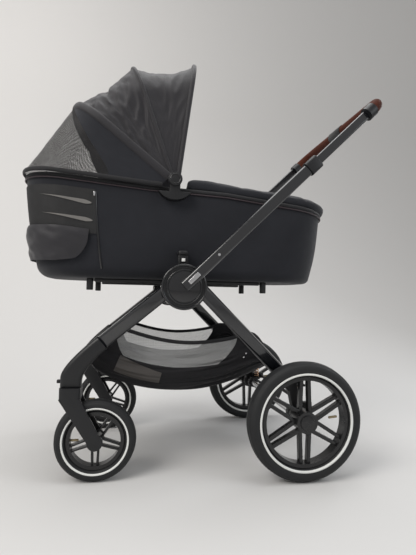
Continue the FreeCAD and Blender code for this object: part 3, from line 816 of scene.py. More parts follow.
@dataclass
class Chassis:
    """The legs, hubs, casters and the sprung axle."""

    rivet_drop: float = 0.045

    def build(self) -> None:
        """Dress the frame pieces and add the springs and the small trim."""
        self.finish_frame()
        self.mouldings()
        self.springs()
        self.hub_trim()

    def finish_frame(self) -> None:
        """Give every frame piece the finish of its slot."""
        finishes = {"frame": PAINT, "plastic": PLASTIC, "rim": RIM_PLASTIC, "tyre": TYRE_RUBBER,
                    "leather": LEATHER, "cloth": SHELL_CLOTH, "lining": LINING, "steel": STEEL}
        for part in frame["record"]["subparts"]:
            node = frame["nodes"][part["node"]]
            material = finishes[part["material_slot"]].material()
            if not node.material_slots:
                node.data.materials.append(material)
            for spot in node.material_slots:
                spot.material = material

    def mouldings(self) -> None:
        """Round the edges of the moulded plastic pieces."""
        bodies = {node: body for body, nodes in frame["record"]["behaviour"]["bodies"].items()
                  for node in nodes}
        plan = {"front_knee_left": 0.008, "front_knee_right": 0.008, "caster_fork_left": 0.003,
                "caster_fork_right": 0.003, "suspension_housings": 0.004, "brake_pedal": 0.002,
                "cot_adapters": 0.002, "cot_brackets": 0.005, "telescope_collars": 0.002,
                "fold_slider_left": 0.001, "fold_slider_right": 0.001, "cot_rails": 0.003,
                "swivel_lock_left": 0.0015, "swivel_lock_right": 0.0015, "button_housing": 0.0015,
                "release_button_left": 0.0012, "release_button_right": 0.0012,
                "telescope_button": 0.0015, "spring_brackets": 0.0015, "brake_brackets": 0.0012,
                "hood_pivots": 0.003, "cot_feet": 0.002}
        for side in SIDES:
            for node in (f"front_leg_{side}", f"rear_leg_{side}", f"handle_tube_{side}"):
                piece = softened(node, 0.0004, 1)
                smooth(piece, 62.0)
                dress(piece, PAINT, bodies[node])
        for node, width in plan.items():
            piece = softened(node, width)
            finish = STEEL if node.startswith("fold_slider") else PLASTIC
            dress(piece, finish, bodies[node])

    def springs(self) -> None:
        """Make the two coil springs beside the rear housings, tinted gold as a painted highlight.
        """
        low, high = box("suspension_springs")
        radius = (high.x - low.x) / 2
        middle = (low.x + high.x) / 2
        turns = 7.0
        coils = []
        for sign in SIDES.values():
            y = sign * (high.y - radius)

            def path(share: float, y: float = y) -> Vector:
                """Give the wire's middle line."""
                turn = share * turns * math.tau
                reach = radius - 0.0018
                return Vector((middle + reach * math.cos(turn), y + reach * math.sin(turn),
                               low.z + 0.002 + share * (high.z - low.z - 0.004)))

            coils.append(tube(f"coil_{sign}", path, 0.0016, 0.0016, 168, 8))
        piece = join("coil_springs", coils)
        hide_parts("suspension_springs")
        # The coils' gold colour is a painted highlight.
        dress(piece, SPRING_PAINTED_GLINT, "chassis")

    def hub_trim(self) -> None:
        """Add the hub rings, rivets and the pale mark on each release button."""
        for side, sign in SIDES.items():
            low, high = box(f"hub_cover_{side}")
            centre = (low + high) / 2
            radius = (high.z - low.z) / 2
            face = high.y if sign > 0 else low.y
            rings = []
            for inset, thick in ((0.0036, 0.0034), (0.0150, 0.0022)):
                spot = Vector((centre.x, face - sign * 0.0010, centre.z))
                rings.append(hoop(f"hub_ring_{inset}", spot, radius - inset, thick, 96, 12))
            rings.append(peg("hub_disc", Vector((centre.x, face, centre.z)), radius - 0.019,
                             0.0028, "Y", 0.0011))
            trim = join(f"hub_trim_{side}", rings)
            smooth(trim, 60.0)
            dress(trim, GLOSS, "handle")
            low, high = box(f"caster_fork_{side}")
            spot = Vector((low.x, (low.y + high.y) / 2, high.z - self.rivet_drop))
            rivet = peg(f"fork_rivet_{side}", spot, 0.0035, 0.0030, "X", 0.0010)
            dress(rivet, BRASS, f"caster_{side}")
            low, high = box(f"release_button_{side}")
            face = high.y if sign > 0 else low.y
            spot = Vector(((low.x + high.x) / 2, face, (low.z + high.z) / 2))
            mark = block(f"release_mark_{side}", spot, Vector((0.009, 0.0012, 0.008)), 0.0004)
            dress(mark, WHITE, f"cot_button_{side}")


@dataclass
class Handle:
    """The push bar's leather, its stitching and the small metal trim."""

    stitches: int = 34
    rivet_distance: float = 0.118
    clamp_distance: float = 0.688
    clamp_length: float = 0.026
    clamp_radius: float = 0.0188

    def build(self) -> None:
        """Add the stitching, the rivets, the clamp collars and the button plate."""
        for side, sign in SIDES.items():
            self.stitching(side, sign)
            self.rivet(side, sign)
            self.clamp(side, sign)
        self.accent()

    def direction(self) -> Vector:
        """Give the direction from the hub to the push bar."""
        return Vector(joint("telescope")["axis"])

    def stitching(self, side: str, sign: float) -> None:
        """Sew a row of stitches along one half of the bar.

        Args:
            side: Left or right.
            sign: The outward direction along Y.
        """
        low, high = box(f"leather_grip_{side}")
        middle = sum(box("button_housing"), Vector()) / 2
        under = self.direction().cross(Vector((0, 1, 0)))
        face = middle + under.normalized() * 0.0148
        inner = 0.045
        outer = max(abs(low.y), abs(high.y)) - 0.072
        rows = []
        for index in range(self.stitches):
            y = inner + (outer - inner) * index / (self.stitches - 1)
            spot = Vector((face.x, sign * y, face.z))
            rows.append(block(f"stitch_{index}", spot, Vector((0.0012, 0.0034, 0.0012)), 0.0004))
        piece = join(f"grip_stitches_{side}", rows)
        dress(piece, THREAD, "push_bar")

    def rivet(self, side: str, sign: float) -> None:
        """Add the rivet on the outer tube near the hub.

        Args:
            side: Left or right.
            sign: The outward direction along Y.
        """
        hub = Vector(joint("handle_fold")["pos_m"])
        low, high = box(f"handle_tube_{side}")
        face = high.y if sign > 0 else low.y
        spot = hub + self.direction() * self.rivet_distance
        piece = peg(f"tube_rivet_{side}", Vector((spot.x, face, spot.z)), 0.0035, 0.002)
        dress(piece, STEEL, "handle")

    def clamp(self, side: str, sign: float) -> None:
        """Add the clamp collar where the sliding tube meets the leather.

        Args:
            side: Left or right.
            sign: The outward direction along Y.
        """
        hub = Vector(joint("handle_fold")["pos_m"])
        low, high = box(f"push_bar_tube_{side}")
        start = hub + self.direction() * self.clamp_distance
        start.y = (low.y + high.y) / 2
        along = self.direction() * self.clamp_length
        piece = tube(f"grip_clamp_{side}", lambda share: start + along * share,
                     self.clamp_radius, self.clamp_radius, 4, 24, up=Vector((0, sign, 0)))
        dress(piece, PLASTIC, "push_bar")

    def accent(self) -> None:
        """Add the bright plate in the middle button."""
        low, high = box("telescope_button")
        middle = (low + high) / 2
        spot = middle + self.direction() * 0.0072
        piece = block("button_plate", spot, Vector((0.0016, 0.024, 0.009)), 0.0005,
                      math.degrees(math.atan2(self.direction().z, self.direction().x)))
        dress(piece, STEEL, "bar_button")


@dataclass
class Carrycot:
    """The carrycot's cloth-covered shell, its rim, apron, mattress and head vent."""

    top_front_x: float = -0.488
    bottom_front_x: float = -0.452
    bottom_rear_x: float = 0.344
    widest_z: float = 0.790
    floor_x: float = -0.046
    rim_knots: tuple[tuple[float, float], ...] = ((-0.518, 0.770), (-0.150, 0.741),
                                                  (0.060, 0.733), (0.457, 0.690))
    top_half: float = 0.198
    bottom_half: float = 0.165
    corner: float = 0.120
    bottom_corner: float = 0.030
    foot_corner: float = 0.010
    zip_x: float = -0.284
    apron_start: float = -0.058
    bulge: float = 0.004

    def __post_init__(self) -> None:
        """Read the carrycot's size from the frame."""
        low, high = box("cot_body")
        self.low = low
        self.high = high

    def build(self) -> None:
        """Make and dress the carrycot's pieces."""
        self.shell()
        self.rim()
        self.apron()
        self.mattress()
        self.vent()

    def rim_height(self, x: float) -> float:
        """Give the height of the shell's top edge at a place along the carrycot.

        Args:
            x: The place along X.

        Returns:
            The height.
        """
        for (x0, z0), (x1, z1) in zip(self.rim_knots, self.rim_knots[1:]):
            if x <= x1:
                return z0 + (z1 - z0) * (x - x0) / (x1 - x0)
        return self.rim_knots[-1][1]

    def outline(self, share: float, level: float, grow: float = 0.0) -> Vector:
        """Give a point of the carrycot's plan outline, a rectangle with round corners.

        Args:
            share: The way round, from 0 to 1, from the middle of the foot end.
            level: The height as a share, 0 at the floor and 1 at the widest.
            grow: How far the outline is drawn out.

        Returns:
            The point, at height 0.
        """
        front = self.bottom_front_x + (self.top_front_x - self.bottom_front_x) * level - grow
        rear = self.bottom_rear_x + (self.high.x - self.bottom_rear_x) * level + grow
        half = self.bottom_half + (self.top_half - self.bottom_half) * level + grow
        corner = self.corner
        end = half - corner
        quarter = corner * math.pi / 2
        straight = rear - front - 2 * corner
        share %= 1.0
        mirrored = share > 0.5
        left = (1.0 - share if mirrored else share) * 2 * (2 * end + 2 * quarter + straight)
        if left <= end:
            x, y = rear, left
        elif left <= end + quarter:
            turn = (left - end) / corner
            x, y = rear - corner * (1 - math.cos(turn)), end + corner * math.sin(turn)
        elif left <= end + quarter + straight:
            x, y = rear - corner - (left - end - quarter), half
        elif left <= end + 2 * quarter + straight:
            turn = (left - end - quarter - straight) / corner
            x, y = front + corner * (1 - math.sin(turn)), end + corner * math.cos(turn)
        else:
            x, y = front, 2 * end + 2 * quarter + straight - left
        return Vector((x, y if mirrored else -y, 0))

    def wall_point(self, share: float, rise: float, proud: float = 0.0) -> Vector:
        """Give a point on the shell's outer wall.

        Args:
            share: The way round, from 0 to 1.
            rise: The height as a share of the wall.
            proud: How far the point stands out.

        Returns:
            The point.
        """
        guess = self.outline(share, rise)
        height = self.rim_height(guess.x) - self.low.z
        z = self.low.z + rise * height
        level = (z - self.low.z) / (self.widest_z - self.low.z)
        wave = noise.noise(Vector((guess.x * 7, guess.y * 7, z * 9))) * 0.0016
        swell = self.bulge * math.sin(math.pi * min(1.0, rise)) + wave
        share_back = max(0.0, min(1.0, (guess.x - 0.2) / 0.15))
        corner = self.bottom_corner + (self.foot_corner - self.bottom_corner) * share_back
        edge = max(0.0, 1.0 - rise * height / corner)
        tuck = corner * (1.0 - math.sqrt(max(0.0, 1.0 - edge * edge)))
        point = self.outline(share, level, swell - tuck + proud)
        point.z = z
        return point

    def shell(self) -> None:
        """Make the shell: a floor, a rounded lower edge and a slightly swollen wall."""
        floor_share = 0.18

        def place(u: float, v: float) -> Vector:
            """Give the surface point: the floor first, then the wall."""
            if v < floor_share:
                edge = self.wall_point(u, 0.0)
                shrink = v / floor_share
                middle = Vector((self.floor_x, 0, edge.z))
                return middle.lerp(edge, shrink)
            share = (v - floor_share) / (1 - floor_share)
            return self.wall_point(u, share ** 1.4)

        piece = grid("cot_shell", 240, 44, place)
        weld(piece)
        thicken(piece, 0.005)
        smooth(piece, 60.0)
        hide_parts("cot_body")
        dress(piece, SHELL_CLOTH, "carrycot")

    def rim(self) -> None:
        """Make the rim band and the line of piping below it."""
        for name, height, proud, wide, high, finish in (
                ("cot_rim_band", 0.0055, 0.0005, 0.0045, 0.0060, BINDING),
                ("cot_seam_piping", -0.0020, 0.0030, 0.0018, 0.0018, PIPING)):
            def path(share: float, height: float = height, proud: float = proud) -> Vector:
                """Give the line round the carrycot at one height."""
                point = self.wall_point(share, 1.0, proud)
                point.z = self.rim_height(point.x) + height
                return point

            piece = tube(name, path, wide, high, 260, 10, closed=True)
            if name == "cot_rim_band":
                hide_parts("cot_rim")
            dress(piece, finish, "carrycot")

    def apron(self) -> None:
        """Make the padded apron over the foot half."""
        piece = softened("apron", 0.008)
        piece.name = "foot_apron"
        near = min(vertex.co.x for vertex in piece.data.vertices)
        far = max(vertex.co.x for vertex in piece.data.vertices)
        for vertex in piece.data.vertices:
            share = (far - vertex.co.x) / (far - near)
            vertex.co.x += (self.apron_start - near) * share
        puff(piece, 0.006, 0.009)
        round_off = piece.modifiers.new("round", "SUBSURF")
        round_off.levels = 1
        round_off.render_levels = 1
        apply_all(piece)
        smooth(piece, 80.0)
        dress(piece, SHELL_CLOTH, "carrycot")

    def mattress(self) -> None:
        """Make the quilted mattress."""
        piece = softened("mattress", 0.008)
        piece.name = "quilted_mattress"
        puff(piece, 0.007, 0.006)
        smooth(piece, 80.0)
        dress(piece, LINING, "carrycot")

    def share_at(self, x: float) -> float:
        """Give the way round the carrycot to a place on its left side.

        Args:
            x: The place along X.

        Returns:
            The share.
        """
        return min((step / 2000 for step in range(200, 1000)),
                   key=lambda share: abs(self.outline(share, 0.6).x - x))

    def vent(self) -> None:
        """Make the netted head window, its slots (pale strips of painted light seen through the
        mesh), the zip and the flap folded down below.
        """
        start = self.share_at(self.zip_x)
        span = 1.0 - 2 * start

        def patch(bottom: float, top: float, proud: float) -> Place:
            """Give a patch of the wall between the zips, slightly proud of it."""
            def place(u: float, v: float) -> Vector:
                """Give the patch's point."""
                return self.wall_point(start + span * u, bottom + (top - bottom) * v, proud)
            return place

        window = cloth("vent_window", (110, 16), patch(0.46, 0.92, 0.0022), 0.0008, 1.0,
                       DENSE_NET, "carrycot")
        # Two pale wedges on each side: painted light seen through the vent mesh, not cloth.
        for index, (middle, tilt) in enumerate(((0.80, 0.05), (0.62, 0.05))):
            for side in (0, 1):
                def slot(u: float, v: float, middle: float = middle, tilt: float = tilt,
                         side: int = side) -> Vector:
                    """Give a slot: a thin pale wedge of painted light that widens away from the
                    zip.
                    """
                    wide = 0.026 * u ** 1.2 * min(1.0, (1 - u) * 7.0) ** 0.6
                    share = 0.012 + 0.200 * (1 - u)
                    share = 1.0 - share if side else share
                    return self.wall_point(start + span * share, middle + tilt * (0.5 - u) +
                                           wide * (v - 0.5) * 2, 0.0034)

                wedge = grid(f"vent_slot_{index}_{side}", 40, 4, slot)
                thicken(wedge, 0.0006, 1.0)
                dress(wedge, VENT_PAINTED_LIGHT, "carrycot")
        for side in (0, 1):
            sign = 1.0 if side else -1.0
            place = 1.0 - start if side else start
            line = tube(f"vent_zip_{side}", lambda t, p=place: self.wall_point(p, 0.10 + 0.80 * t,
                                                                               0.0016),
                        0.0024, 0.0012, 50, 8, up=Vector((0, sign, 0)))
            dress(line, GLOSS, "carrycot")
            pull = self.wall_point(place, 0.875, 0.0050)
            puller = block(f"vent_puller_{side}", pull, Vector((0.0045, 0.0030, 0.0120)), 0.0010)
            dress(puller, STEEL, "carrycot")

        def folded(u: float, v: float) -> Vector:
            """Give the flap: it comes out of the wall, rolls over and hangs down."""
            ends = min(1.0, min(u, 1 - u) * 9.0)
            head = math.sin(math.pi * u)
            roll = (0.003 + 0.006 * head ** 2) * math.sin(math.pi * min(0.5, v * 1.6 + 0.06))
            crease = 0.0026 * noise.noise(Vector((u * 16, v * 5 + u * 6, 0.3))) * ends
            inset = 0.030 + 0.055 * v ** 2.5
            share = start + span * (inset + (1.0 - 2 * inset) * u)
            drop = 0.29 + 0.06 * ends ** 0.6
            rise = 0.515 - drop * v + 0.012 * math.sin(math.pi * u) - 0.012 * (1 - ends)
            return self.wall_point(share, rise, 0.0030 + roll + crease)

        flap = cloth("vent_flap", (130, 30), folded, 0.0022, 1.0, FLAP_CLOTH, "carrycot")


@dataclass
class Hood:
    """The hood: one skin of cloth over three bows, with a netted part at the head end."""

    corner: float = 0.105
    start: float = 0.014
    crown: float = 0.008
    rim_gap: float = 0.014
    knob: float = 0.0185
    angles: tuple[float, float, float, float] = (81.5, 110.0, 142.5, 177.2)
    radii: tuple[float, float, float, float] = (0.3660, 0.3570, 0.3450, 0.4010)
    halves: tuple[float, float, float, float] = (0.2000, 0.2040, 0.2080, 0.2080)
    spread: tuple[float, float, float, float] = (0.008, -0.003, -0.006, -0.020)
    solid_end: float = 0.135
    solid_corner: float = 0.330

    def __post_init__(self) -> None:
        """Read the hood's pivot from the frame."""
        self.pivot = Vector(joint("hood_rear_turn")["pos_m"])
        self.cot = Carrycot()

    def between(self, angle: float, values: tuple[float, float, float, float]) -> float:
        """Read a size at an angle, straight between the bows.

        Args:
            angle: The angle round the pivot, in degrees.
            values: The size at each bow.

        Returns:
            The size at the angle.
        """
        for index in range(3):
            first, last = self.angles[index], self.angles[index + 1]
            if angle <= last or index == 2:
                share = (angle - first) / (last - first)
                return values[index] + (values[index + 1] - values[index]) * share
        return values[-1]

    def point(self, angle: float, share: float, sink: float = 0.0) -> Vector:
        """Give a point of the hood's skin.

        Args:
            angle: The angle round the pivot, in degrees.
            share: The way across, from the left pivot at 0 to the right pivot at 1.
            sink: How far the skin lies inside its bows.

        Returns:
            The point.
        """
        radius = self.between(angle, self.radii) - sink
        half = self.between(angle, self.halves) - sink * 0.35
        corner = self.corner
        leg = radius - corner - self.start
        quarter = corner * math.pi / 2
        top = 2 * (half - corner)
        total = 2 * leg + 2 * quarter + top
        mirrored = share > 0.5
        left = (1.0 - share if mirrored else share) * total
        if left <= leg:
            reach, y = self.start + left, -half
        elif left <= leg + quarter:
            turn = (left - leg) / corner
            reach = radius - corner + corner * math.sin(turn)
            y = -(half - corner) - corner * math.cos(turn)
        else:
            run = left - leg - quarter
            reach = radius + self.crown * math.sin(math.pi * run / max(top, 1e-6))
            y = -(half - corner) + run
        turn = math.radians(angle)
        aside = self.between(angle, self.spread) * (1.0 - min(1.0, reach / radius))
        place = self.pivot + Vector((reach * math.cos(turn) + aside, -y if mirrored else y,
                                     reach * math.sin(turn)))
        if angle >= self.angles[3]:
            place.z = self.cot.rim_height(place.x) + self.rim_gap
        return place

    def skin(self, name: str, first: float, last: float, sag: float, wrinkle: float,
             finish: Finish, nodes: tuple[str, ...],
             seed: float,
             part: Callable[[float, float], tuple[float, float]]) -> None:
        """Make one panel of the skin.

        Args:
            name: The panel's name.
            first: The angle of its front edge.
            last: The angle of its back edge.
            sag: How far it sinks midway between its bows.
            wrinkle: The height of its creases.
            finish: Its cloth.
            nodes: The frame pieces that it stands for.
            seed: Picks the creases.
            part: Picks the part of the surface between the bows that the panel covers.
        """
        def place(u: float, v: float) -> Vector:
            """Give the panel's point."""
            u, v = part(u, v)
            reach = min(1.0, min(u, 1 - u) * 5.0)
            dip = sag * math.sin(math.pi * v) ** 0.8 * reach
            fold = noise.noise(Vector((u * 14.0 + v * 5.0, v * 3.0 - u * 7.5, seed)))
            fine = noise.noise(Vector((u * 30.0 - v * 7.0, v * 6.0 + u * 9.0, seed + 4.0)))
            crease = wrinkle * (1.0 - abs(fold) * 3.2 + 0.45 * fine)
            crease *= math.sin(math.pi * v) ** 0.5 * reach
            crease *= 1.0 - 0.7 * math.sin(math.pi * u) ** 4
            straight = self.point(first, u).lerp(self.point(last, u), v)
            straight.y += math.copysign(dip - crease * 0.5, -straight.y) * 0.5
            inward = (self.pivot - straight)
            inward.y = 0.0
            return straight + inward.normalized() * (dip - crease * 0.5)

        piece = grid(name, 200, 44, place)
        edit(piece, lambda: bpy.ops.mesh.normals_make_consistent(inside=False))
        self.face_outward(piece)
        thicken(piece, 0.0012)
        smooth(piece, 70.0)
        for node in nodes:
            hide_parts(node)
        dress(piece, finish)
        tuple(self.point(first, 0.5))
        tuple(self.point(last, 0.5))
        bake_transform(piece)

    def solid_part(self, u: float) -> float:
        """Give how far the solid side of the head panel reaches back from the rear bow.

        Args:
            u: The way across.

        Returns:
            The share of the way to the head end.
        """
        side = min(u, 1.0 - u)
        fall = (side - self.solid_end) / (self.solid_corner - self.solid_end)
        fall = max(0.0, min(1.0, fall))
        return 1.0 - 0.93 * fall ** 0.55

    def face_outward(self, piece: Piece) -> None:
        """Turn a panel's faces away from the pivot.

        Args:
            piece: The panel.
        """
        middle = max(piece.data.polygons, key=lambda face: face.center.z)
        if middle.normal.dot(middle.center - self.pivot) < 0:
            piece.data.flip_normals()

    def build(self) -> None:
        """Make and dress the hood."""
        front, middle, rear, head = self.angles

        def whole(u: float, v: float) -> tuple[float, float]:
            """Cover all of the surface between the bows."""
            return u, v

        def solid(u: float, v: float) -> tuple[float, float]:
            """Cover the solid part next to the rear bow."""
            return u, v * self.solid_part(u)

        def netted(u: float, v: float) -> tuple[float, float]:
            """Cover the netted part next to the head end."""
            share = self.solid_end + (1.0 - 2 * self.solid_end) * u
            edge = self.solid_part(share)
            return share, edge + (1.0 - edge) * v

        self.skin("hood_front_cloth", front, middle, 0.016, 0.005, HOOD_CLOTH,
                  ("hood_front_panel",), 1.0, whole)
        self.skin("hood_middle_cloth", middle, rear, 0.012, 0.019, HOOD_CLOTH,
                  ("hood_middle_panel",), 7.0, whole)
        self.skin("hood_rear_cloth", rear, head, 0.001, 0.002, SHELL_CLOTH,
                  ("hood_rear_panel",), 3.0, solid)
        self.skin("hood_vent_net", rear, head, 0.001, 0.003, NET,
                  (), 5.0, netted)
        for name, angle, wide, high, body, bow, finish in (
                ("hood_front_hem", front, 0.0062, 0.0056, "hood_front", "hood_front_bow",
                 HOOD_CLOTH),
                ("hood_middle_seam", middle, 0.0048, 0.0036, "hood_middle", "hood_middle_bow",
                 HOOD_CLOTH),
                ("hood_rear_hem", rear, 0.0110, 0.0042, "hood_rear", "hood_rear_bow",
                 HOOD_CLOTH),
                ("hood_head_hem", head, 0.0060, 0.0032, "carrycot", "", BINDING)):
            turn = math.radians(angle)
            piece = tube(name, lambda s, a=angle: self.point(a, s), high, wide, 150, 12,
                         up=Vector((-math.sin(turn), 0, math.cos(turn))))
            if bow:
                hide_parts(bow)
            dress(piece, finish, body)
        self.knobs()

    def knobs(self) -> None:
        """Cap each hood pivot with a round knob and its polished ring."""
        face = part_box("hood_pivots")[1][1]
        for side, sign in SIDES.items():
            spot = Vector((self.pivot.x, sign * (face + 0.0010), self.pivot.z))
            cap = peg(f"hood_knob_{side}", spot, self.knob, 0.0060, "Y", 0.0020)
            dress(cap, PLASTIC, "carrycot")
            spot.y = sign * (face + 0.0036)
            ring = hoop(f"hood_knob_ring_{side}", spot, self.knob * 0.68, 0.0016, 64, 10)
            dress(ring, GLOSS, "carrycot")


@dataclass
class Basket:
    """The shopping basket: a sagging cloth tub with netted sides."""

    half: float = 0.182
    net_end: float = 0.81
    rim_x: tuple[float, float] = (-0.232, 0.178)
    floor_x: tuple[float, float] = (-0.290, 0.198)
    rim_z: float = 0.380
    floor_z: float = 0.276
    floor_sag: float = 0.076

    def rim(self, share: float) -> Vector:
        """Give the rim's line, without its place across.

        Args:
            share: The way from the front to the rear.

        Returns:
            The point at the middle.
        """
        x = self.rim_x[0] + (self.rim_x[1] - self.rim_x[0]) * share
        sag = -0.030 * math.sin(math.pi * min(1.0, share / 0.84))
        rise = 0.008 * math.exp(-((share - 0.88) / 0.07) ** 2)
        rise -= 0.040 * max(0.0, (share - 0.90) / 0.10) ** 2
        return Vector((x, 0, self.rim_z - 0.030 * share + sag + rise))

    def floor(self, share: float) -> Vector:
        """Give the floor's line, without its place across.

        Args:
            share: The way from the front to the rear.

        Returns:
            The point at the middle.
        """
        x = self.floor_x[0] + (self.floor_x[1] - self.floor_x[0]) * share
        ends = self.floor_z + 0.014 * share
        return Vector((x, 0, ends - self.floor_sag * math.sin(math.pi * share) ** 0.7))

    def net_low(self, share: float) -> float:
        """Give the net's lower edge as a share of the side's height, counted from the rim.

        Args:
            share: The way from the front to the rear.

        Returns:
            The share of the height.
        """
        front = max(0.0, min(1.0, (share - 0.02) / 0.10))
        rear = max(0.0, min(1.0, (0.80 - share) / 0.12))
        return 0.03 + 0.48 * (front * rear) ** 0.6

    def side_point(self, share: float, drop: float, sign: float, proud: float = 0.0) -> Vector:
        """Give a point of the basket's side.

        Args:
            share: The way from the front to the rear.
            drop: The way down from the rim to the floor.
            sign: The side, as a direction along Y.
            proud: How far it stands out.

        Returns:
            The point.
        """
        point = self.rim(share).lerp(self.floor(share), drop)
        slack = noise.noise(Vector((share * 3.0, drop * 18.0 + share * 3.0, 2.0 + sign)))
        belly = 0.004 * math.sin(math.pi * drop) + 0.0065 * slack * min(1.0, drop * 3.0)
        point.y = sign * (self.half - 0.004 + belly + proud)
        point.y -= sign * 0.02 * max(0.0, drop - 0.7) / 0.3
        return point

    def build(self) -> None:
        """Make and dress the basket."""
        def tub(u: float, v: float) -> Vector:
            """Give the tub: down one side, across the floor and up the other."""
            sign = -1.0 if v < 0.5 else 1.0
            arm = abs(v - 0.5) * 2
            split = 0.45
            if arm > split:
                low = self.net_low(u)
                drop = 1.0 - (1.0 - low) * (arm - split) / (1 - split)
                return self.side_point(u, drop, sign)
            edge = self.side_point(u, 1.0, sign)
            edge.y *= arm / split
            edge.z -= 0.010 * (1 - (arm / split) ** 2) * math.sin(math.pi * u)
            return edge

        tub_piece = grid("basket_tub", 110, 90, tub)
        weld(tub_piece)
        thicken(tub_piece, 0.0018, 0.0)
        smooth(tub_piece, 60.0)
        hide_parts("basket")
        dress(tub_piece, BASKET_CLOTH, "chassis")
        for end, share in (("front", 0.0), ("rear", 1.0)):
            cloth(f"basket_{end}_panel", (40, 16),
                  lambda u, v, s=share: self.end_point(u, v, s), 0.0018, 0.0, BASKET_CLOTH,
                  "chassis")
        for side, sign in SIDES.items():
            self.side(side, sign)

    def end_point(self, u: float, v: float, share: float) -> Vector:
        """Give a point of an end panel.

        Args:
            u: The way across.
            v: The way down.
            share: 0 for the front end, 1 for the rear.

        Returns:
            The point.
        """
        top = self.side_point(share, v, 1.0)
        lift = 0.012 * math.sin(math.pi * u) * (1 - v) * (1.0 if share > 0.5 else -1.0)
        return Vector((top.x, (u * 2 - 1) * top.y, top.z + lift))

    def side(self, side: str, sign: float) -> None:
        """Make one side's net, rim band, pocket and snaps.

        Args:
            side: Left or right.
            sign: The side, as a direction along Y.
        """
        net = cloth(f"basket_net_{side}", (80, 16), lambda u, v: self.side_point(
            u * self.net_end, self.net_low(u * self.net_end) * v, sign), 0.0006, 0.0,
            BASKET_NET, "chassis")
        band = tube(f"basket_rim_band_{side}", lambda s: self.side_point(s, 0.0, sign, 0.001),
                    0.0016, 0.0050, 80, 8)
        dress(band, BINDING, "chassis")

        def pocket(u: float, v: float) -> Vector:
            """Give the pocket: a patch at the front lower corner of the side."""
            share = 0.10 + 0.25 * u
            top = 0.50 + 0.14 * u
            low = 0.84 + 0.02 * u
            return self.side_point(share, top + (low - top) * v, sign, 0.0024)

        patch = cloth(f"basket_pocket_{side}", (40, 16), pocket, 0.0010, 0.0, POCKET_CLOTH,
                      "chassis")
        snaps = []
        for index, (share, drop) in enumerate(((0.835, 0.52), (0.850, 0.45))):
            spot = self.side_point(share, drop, sign, 0.0015)
            snaps.append(peg(f"snap_{index}", spot, 0.0030, 0.0026, "Y", 0.0009))
        piece = join(f"basket_snaps_{side}", snaps)
        dress(piece, STEEL, "chassis")


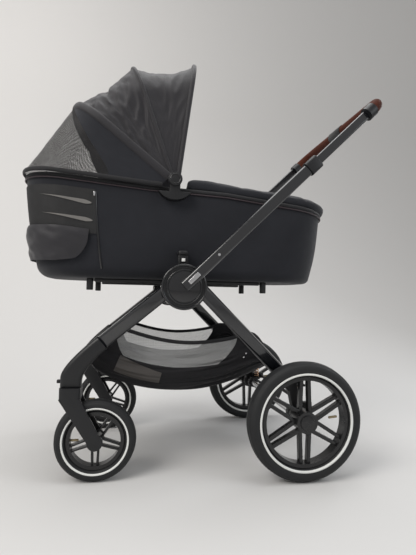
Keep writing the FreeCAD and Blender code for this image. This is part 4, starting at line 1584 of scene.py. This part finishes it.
@dataclass
class Studio:
    """The floor, the backdrop, the lights and the camera."""

    lens: float = 26.864
    eye: tuple[float, float, float] = (-0.180, -1.2898, 0.4617)
    yaw: float = 0.1707
    pitch: float = 0.0453
    roll: float = 0.0194
    sweep_start: float = -5.0
    sweep_length: float = 12.0
    sweep_width: float = 22.0
    bend_start: float = 0.9
    bend_radius: float = 3.0

    def build(self) -> None:
        """Set up the studio."""
        self.camera()
        self.floor()
        self.lights()

    def camera(self) -> None:
        """Place the camera at its viewing angle."""
        ahead = Vector((math.sin(self.yaw) * math.cos(self.pitch),
                        math.cos(self.yaw) * math.cos(self.pitch), math.sin(self.pitch)))
        right = Vector((math.cos(self.yaw), -math.sin(self.yaw), 0.0))
        up = right.cross(ahead)
        turned_right = right * math.cos(self.roll) + up * math.sin(self.roll)
        turned_up = up * math.cos(self.roll) - right * math.sin(self.roll)
        data = bpy.data.cameras.new("studio_camera")
        data.lens = self.lens
        data.sensor_width = 36.0
        data.sensor_fit = "AUTO"
        data.clip_start = 0.01
        data.dof.use_dof = False
        camera = bpy.data.objects.new("studio_camera", data)
        bpy.context.scene.collection.objects.link(camera)
        basis = Matrix((turned_right, turned_up, -ahead)).transposed().to_4x4()
        camera.matrix_world = Matrix.Translation(self.eye) @ basis
        bpy.context.scene.camera = camera

    def floor(self) -> None:
        """Make the floor that curves up into the backdrop."""
        def place(u: float, v: float) -> Vector:
            """Give the sweep: flat, then a quarter round, then upright."""
            reach = self.sweep_start + self.sweep_length * v
            x = (u - 0.5) * self.sweep_width
            if reach < self.bend_start:
                return Vector((x, reach, 0.0))
            turn = min(math.pi / 2, (reach - self.bend_start) / self.bend_radius)
            rest = max(0.0, reach - self.bend_start - self.bend_radius * math.pi / 2)
            return Vector((x, self.bend_start + self.bend_radius * math.sin(turn),
                           self.bend_radius * (1 - math.cos(turn)) + rest * 2.0))

        sweep = grid("studio_sweep", 8, 120, place)
        smooth(sweep, 60.0)
        sweep.data.materials.append(STUDIO.material())

    def lights(self) -> None:
        """Hang the soft lights and set the room's own light."""
        world = bpy.data.worlds.new("studio_air")
        bpy.context.scene.world = world
        world.use_nodes = True
        air = world.node_tree.nodes["Background"]
        air.inputs["Color"].default_value = (0.98, 0.97, 0.96, 1.0)
        air.inputs["Strength"].default_value = 0.52
        plan = (("key", (-1.9, -1.6, 2.3), (-0.4, 0.0, 0.3), 58.0, 1.5, (1.0, 0.97, 0.93)),
                ("fill", (2.3, -1.5, 1.7), (0.0, 0.0, 0.7), 15.0, 1.2, (0.90, 0.95, 1.0)),
                ("top", (0.0, 0.1, 2.9), (0.0, 0.0, 0.5), 36.0, 2.0, (1.0, 1.0, 1.0)),
                ("edge", (1.9, 0.9, 1.7), (0.0, 0.0, 0.7), 9.0, 0.9, (0.95, 0.97, 1.0)),
                ("wash", (-2.4, 0.4, 3.6), (-2.0, 3.7, 3.9), 92.0, 2.2, (1.0, 0.965, 0.93)))
        for name, spot, target, power, size, tint in plan:
            data = bpy.data.lights.new(name, "AREA")
            data.energy = power
            data.size = size
            data.color = tint
            lamp = bpy.data.objects.new(name, data)
            bpy.context.scene.collection.objects.link(lamp)
            aim = Vector(target) - Vector(spot)
            turn = aim.to_track_quat("-Z", "Y").to_matrix().to_4x4()
            lamp.matrix_world = Matrix.Translation(spot) @ turn
        bpy.context.scene.view_settings.view_transform = "Standard"


def main() -> None:
    """Build the studio and every sub-assembly, and report each piece."""
    logging.basicConfig(level=logging.INFO, format="%(name)s %(message)s")
    before = set(bpy.data.objects)
    for maker in (Studio(), Chassis(), Wheels(), Handle(), Carrycot(), Hood(), Basket()):
        maker.build()
        for piece in sorted(set(bpy.data.objects) - before, key=lambda item: item.name):
            LOG.info("%s made %s", type(maker).__name__, piece.name)
        before = set(bpy.data.objects)


if __name__ == "__main__":
    main()
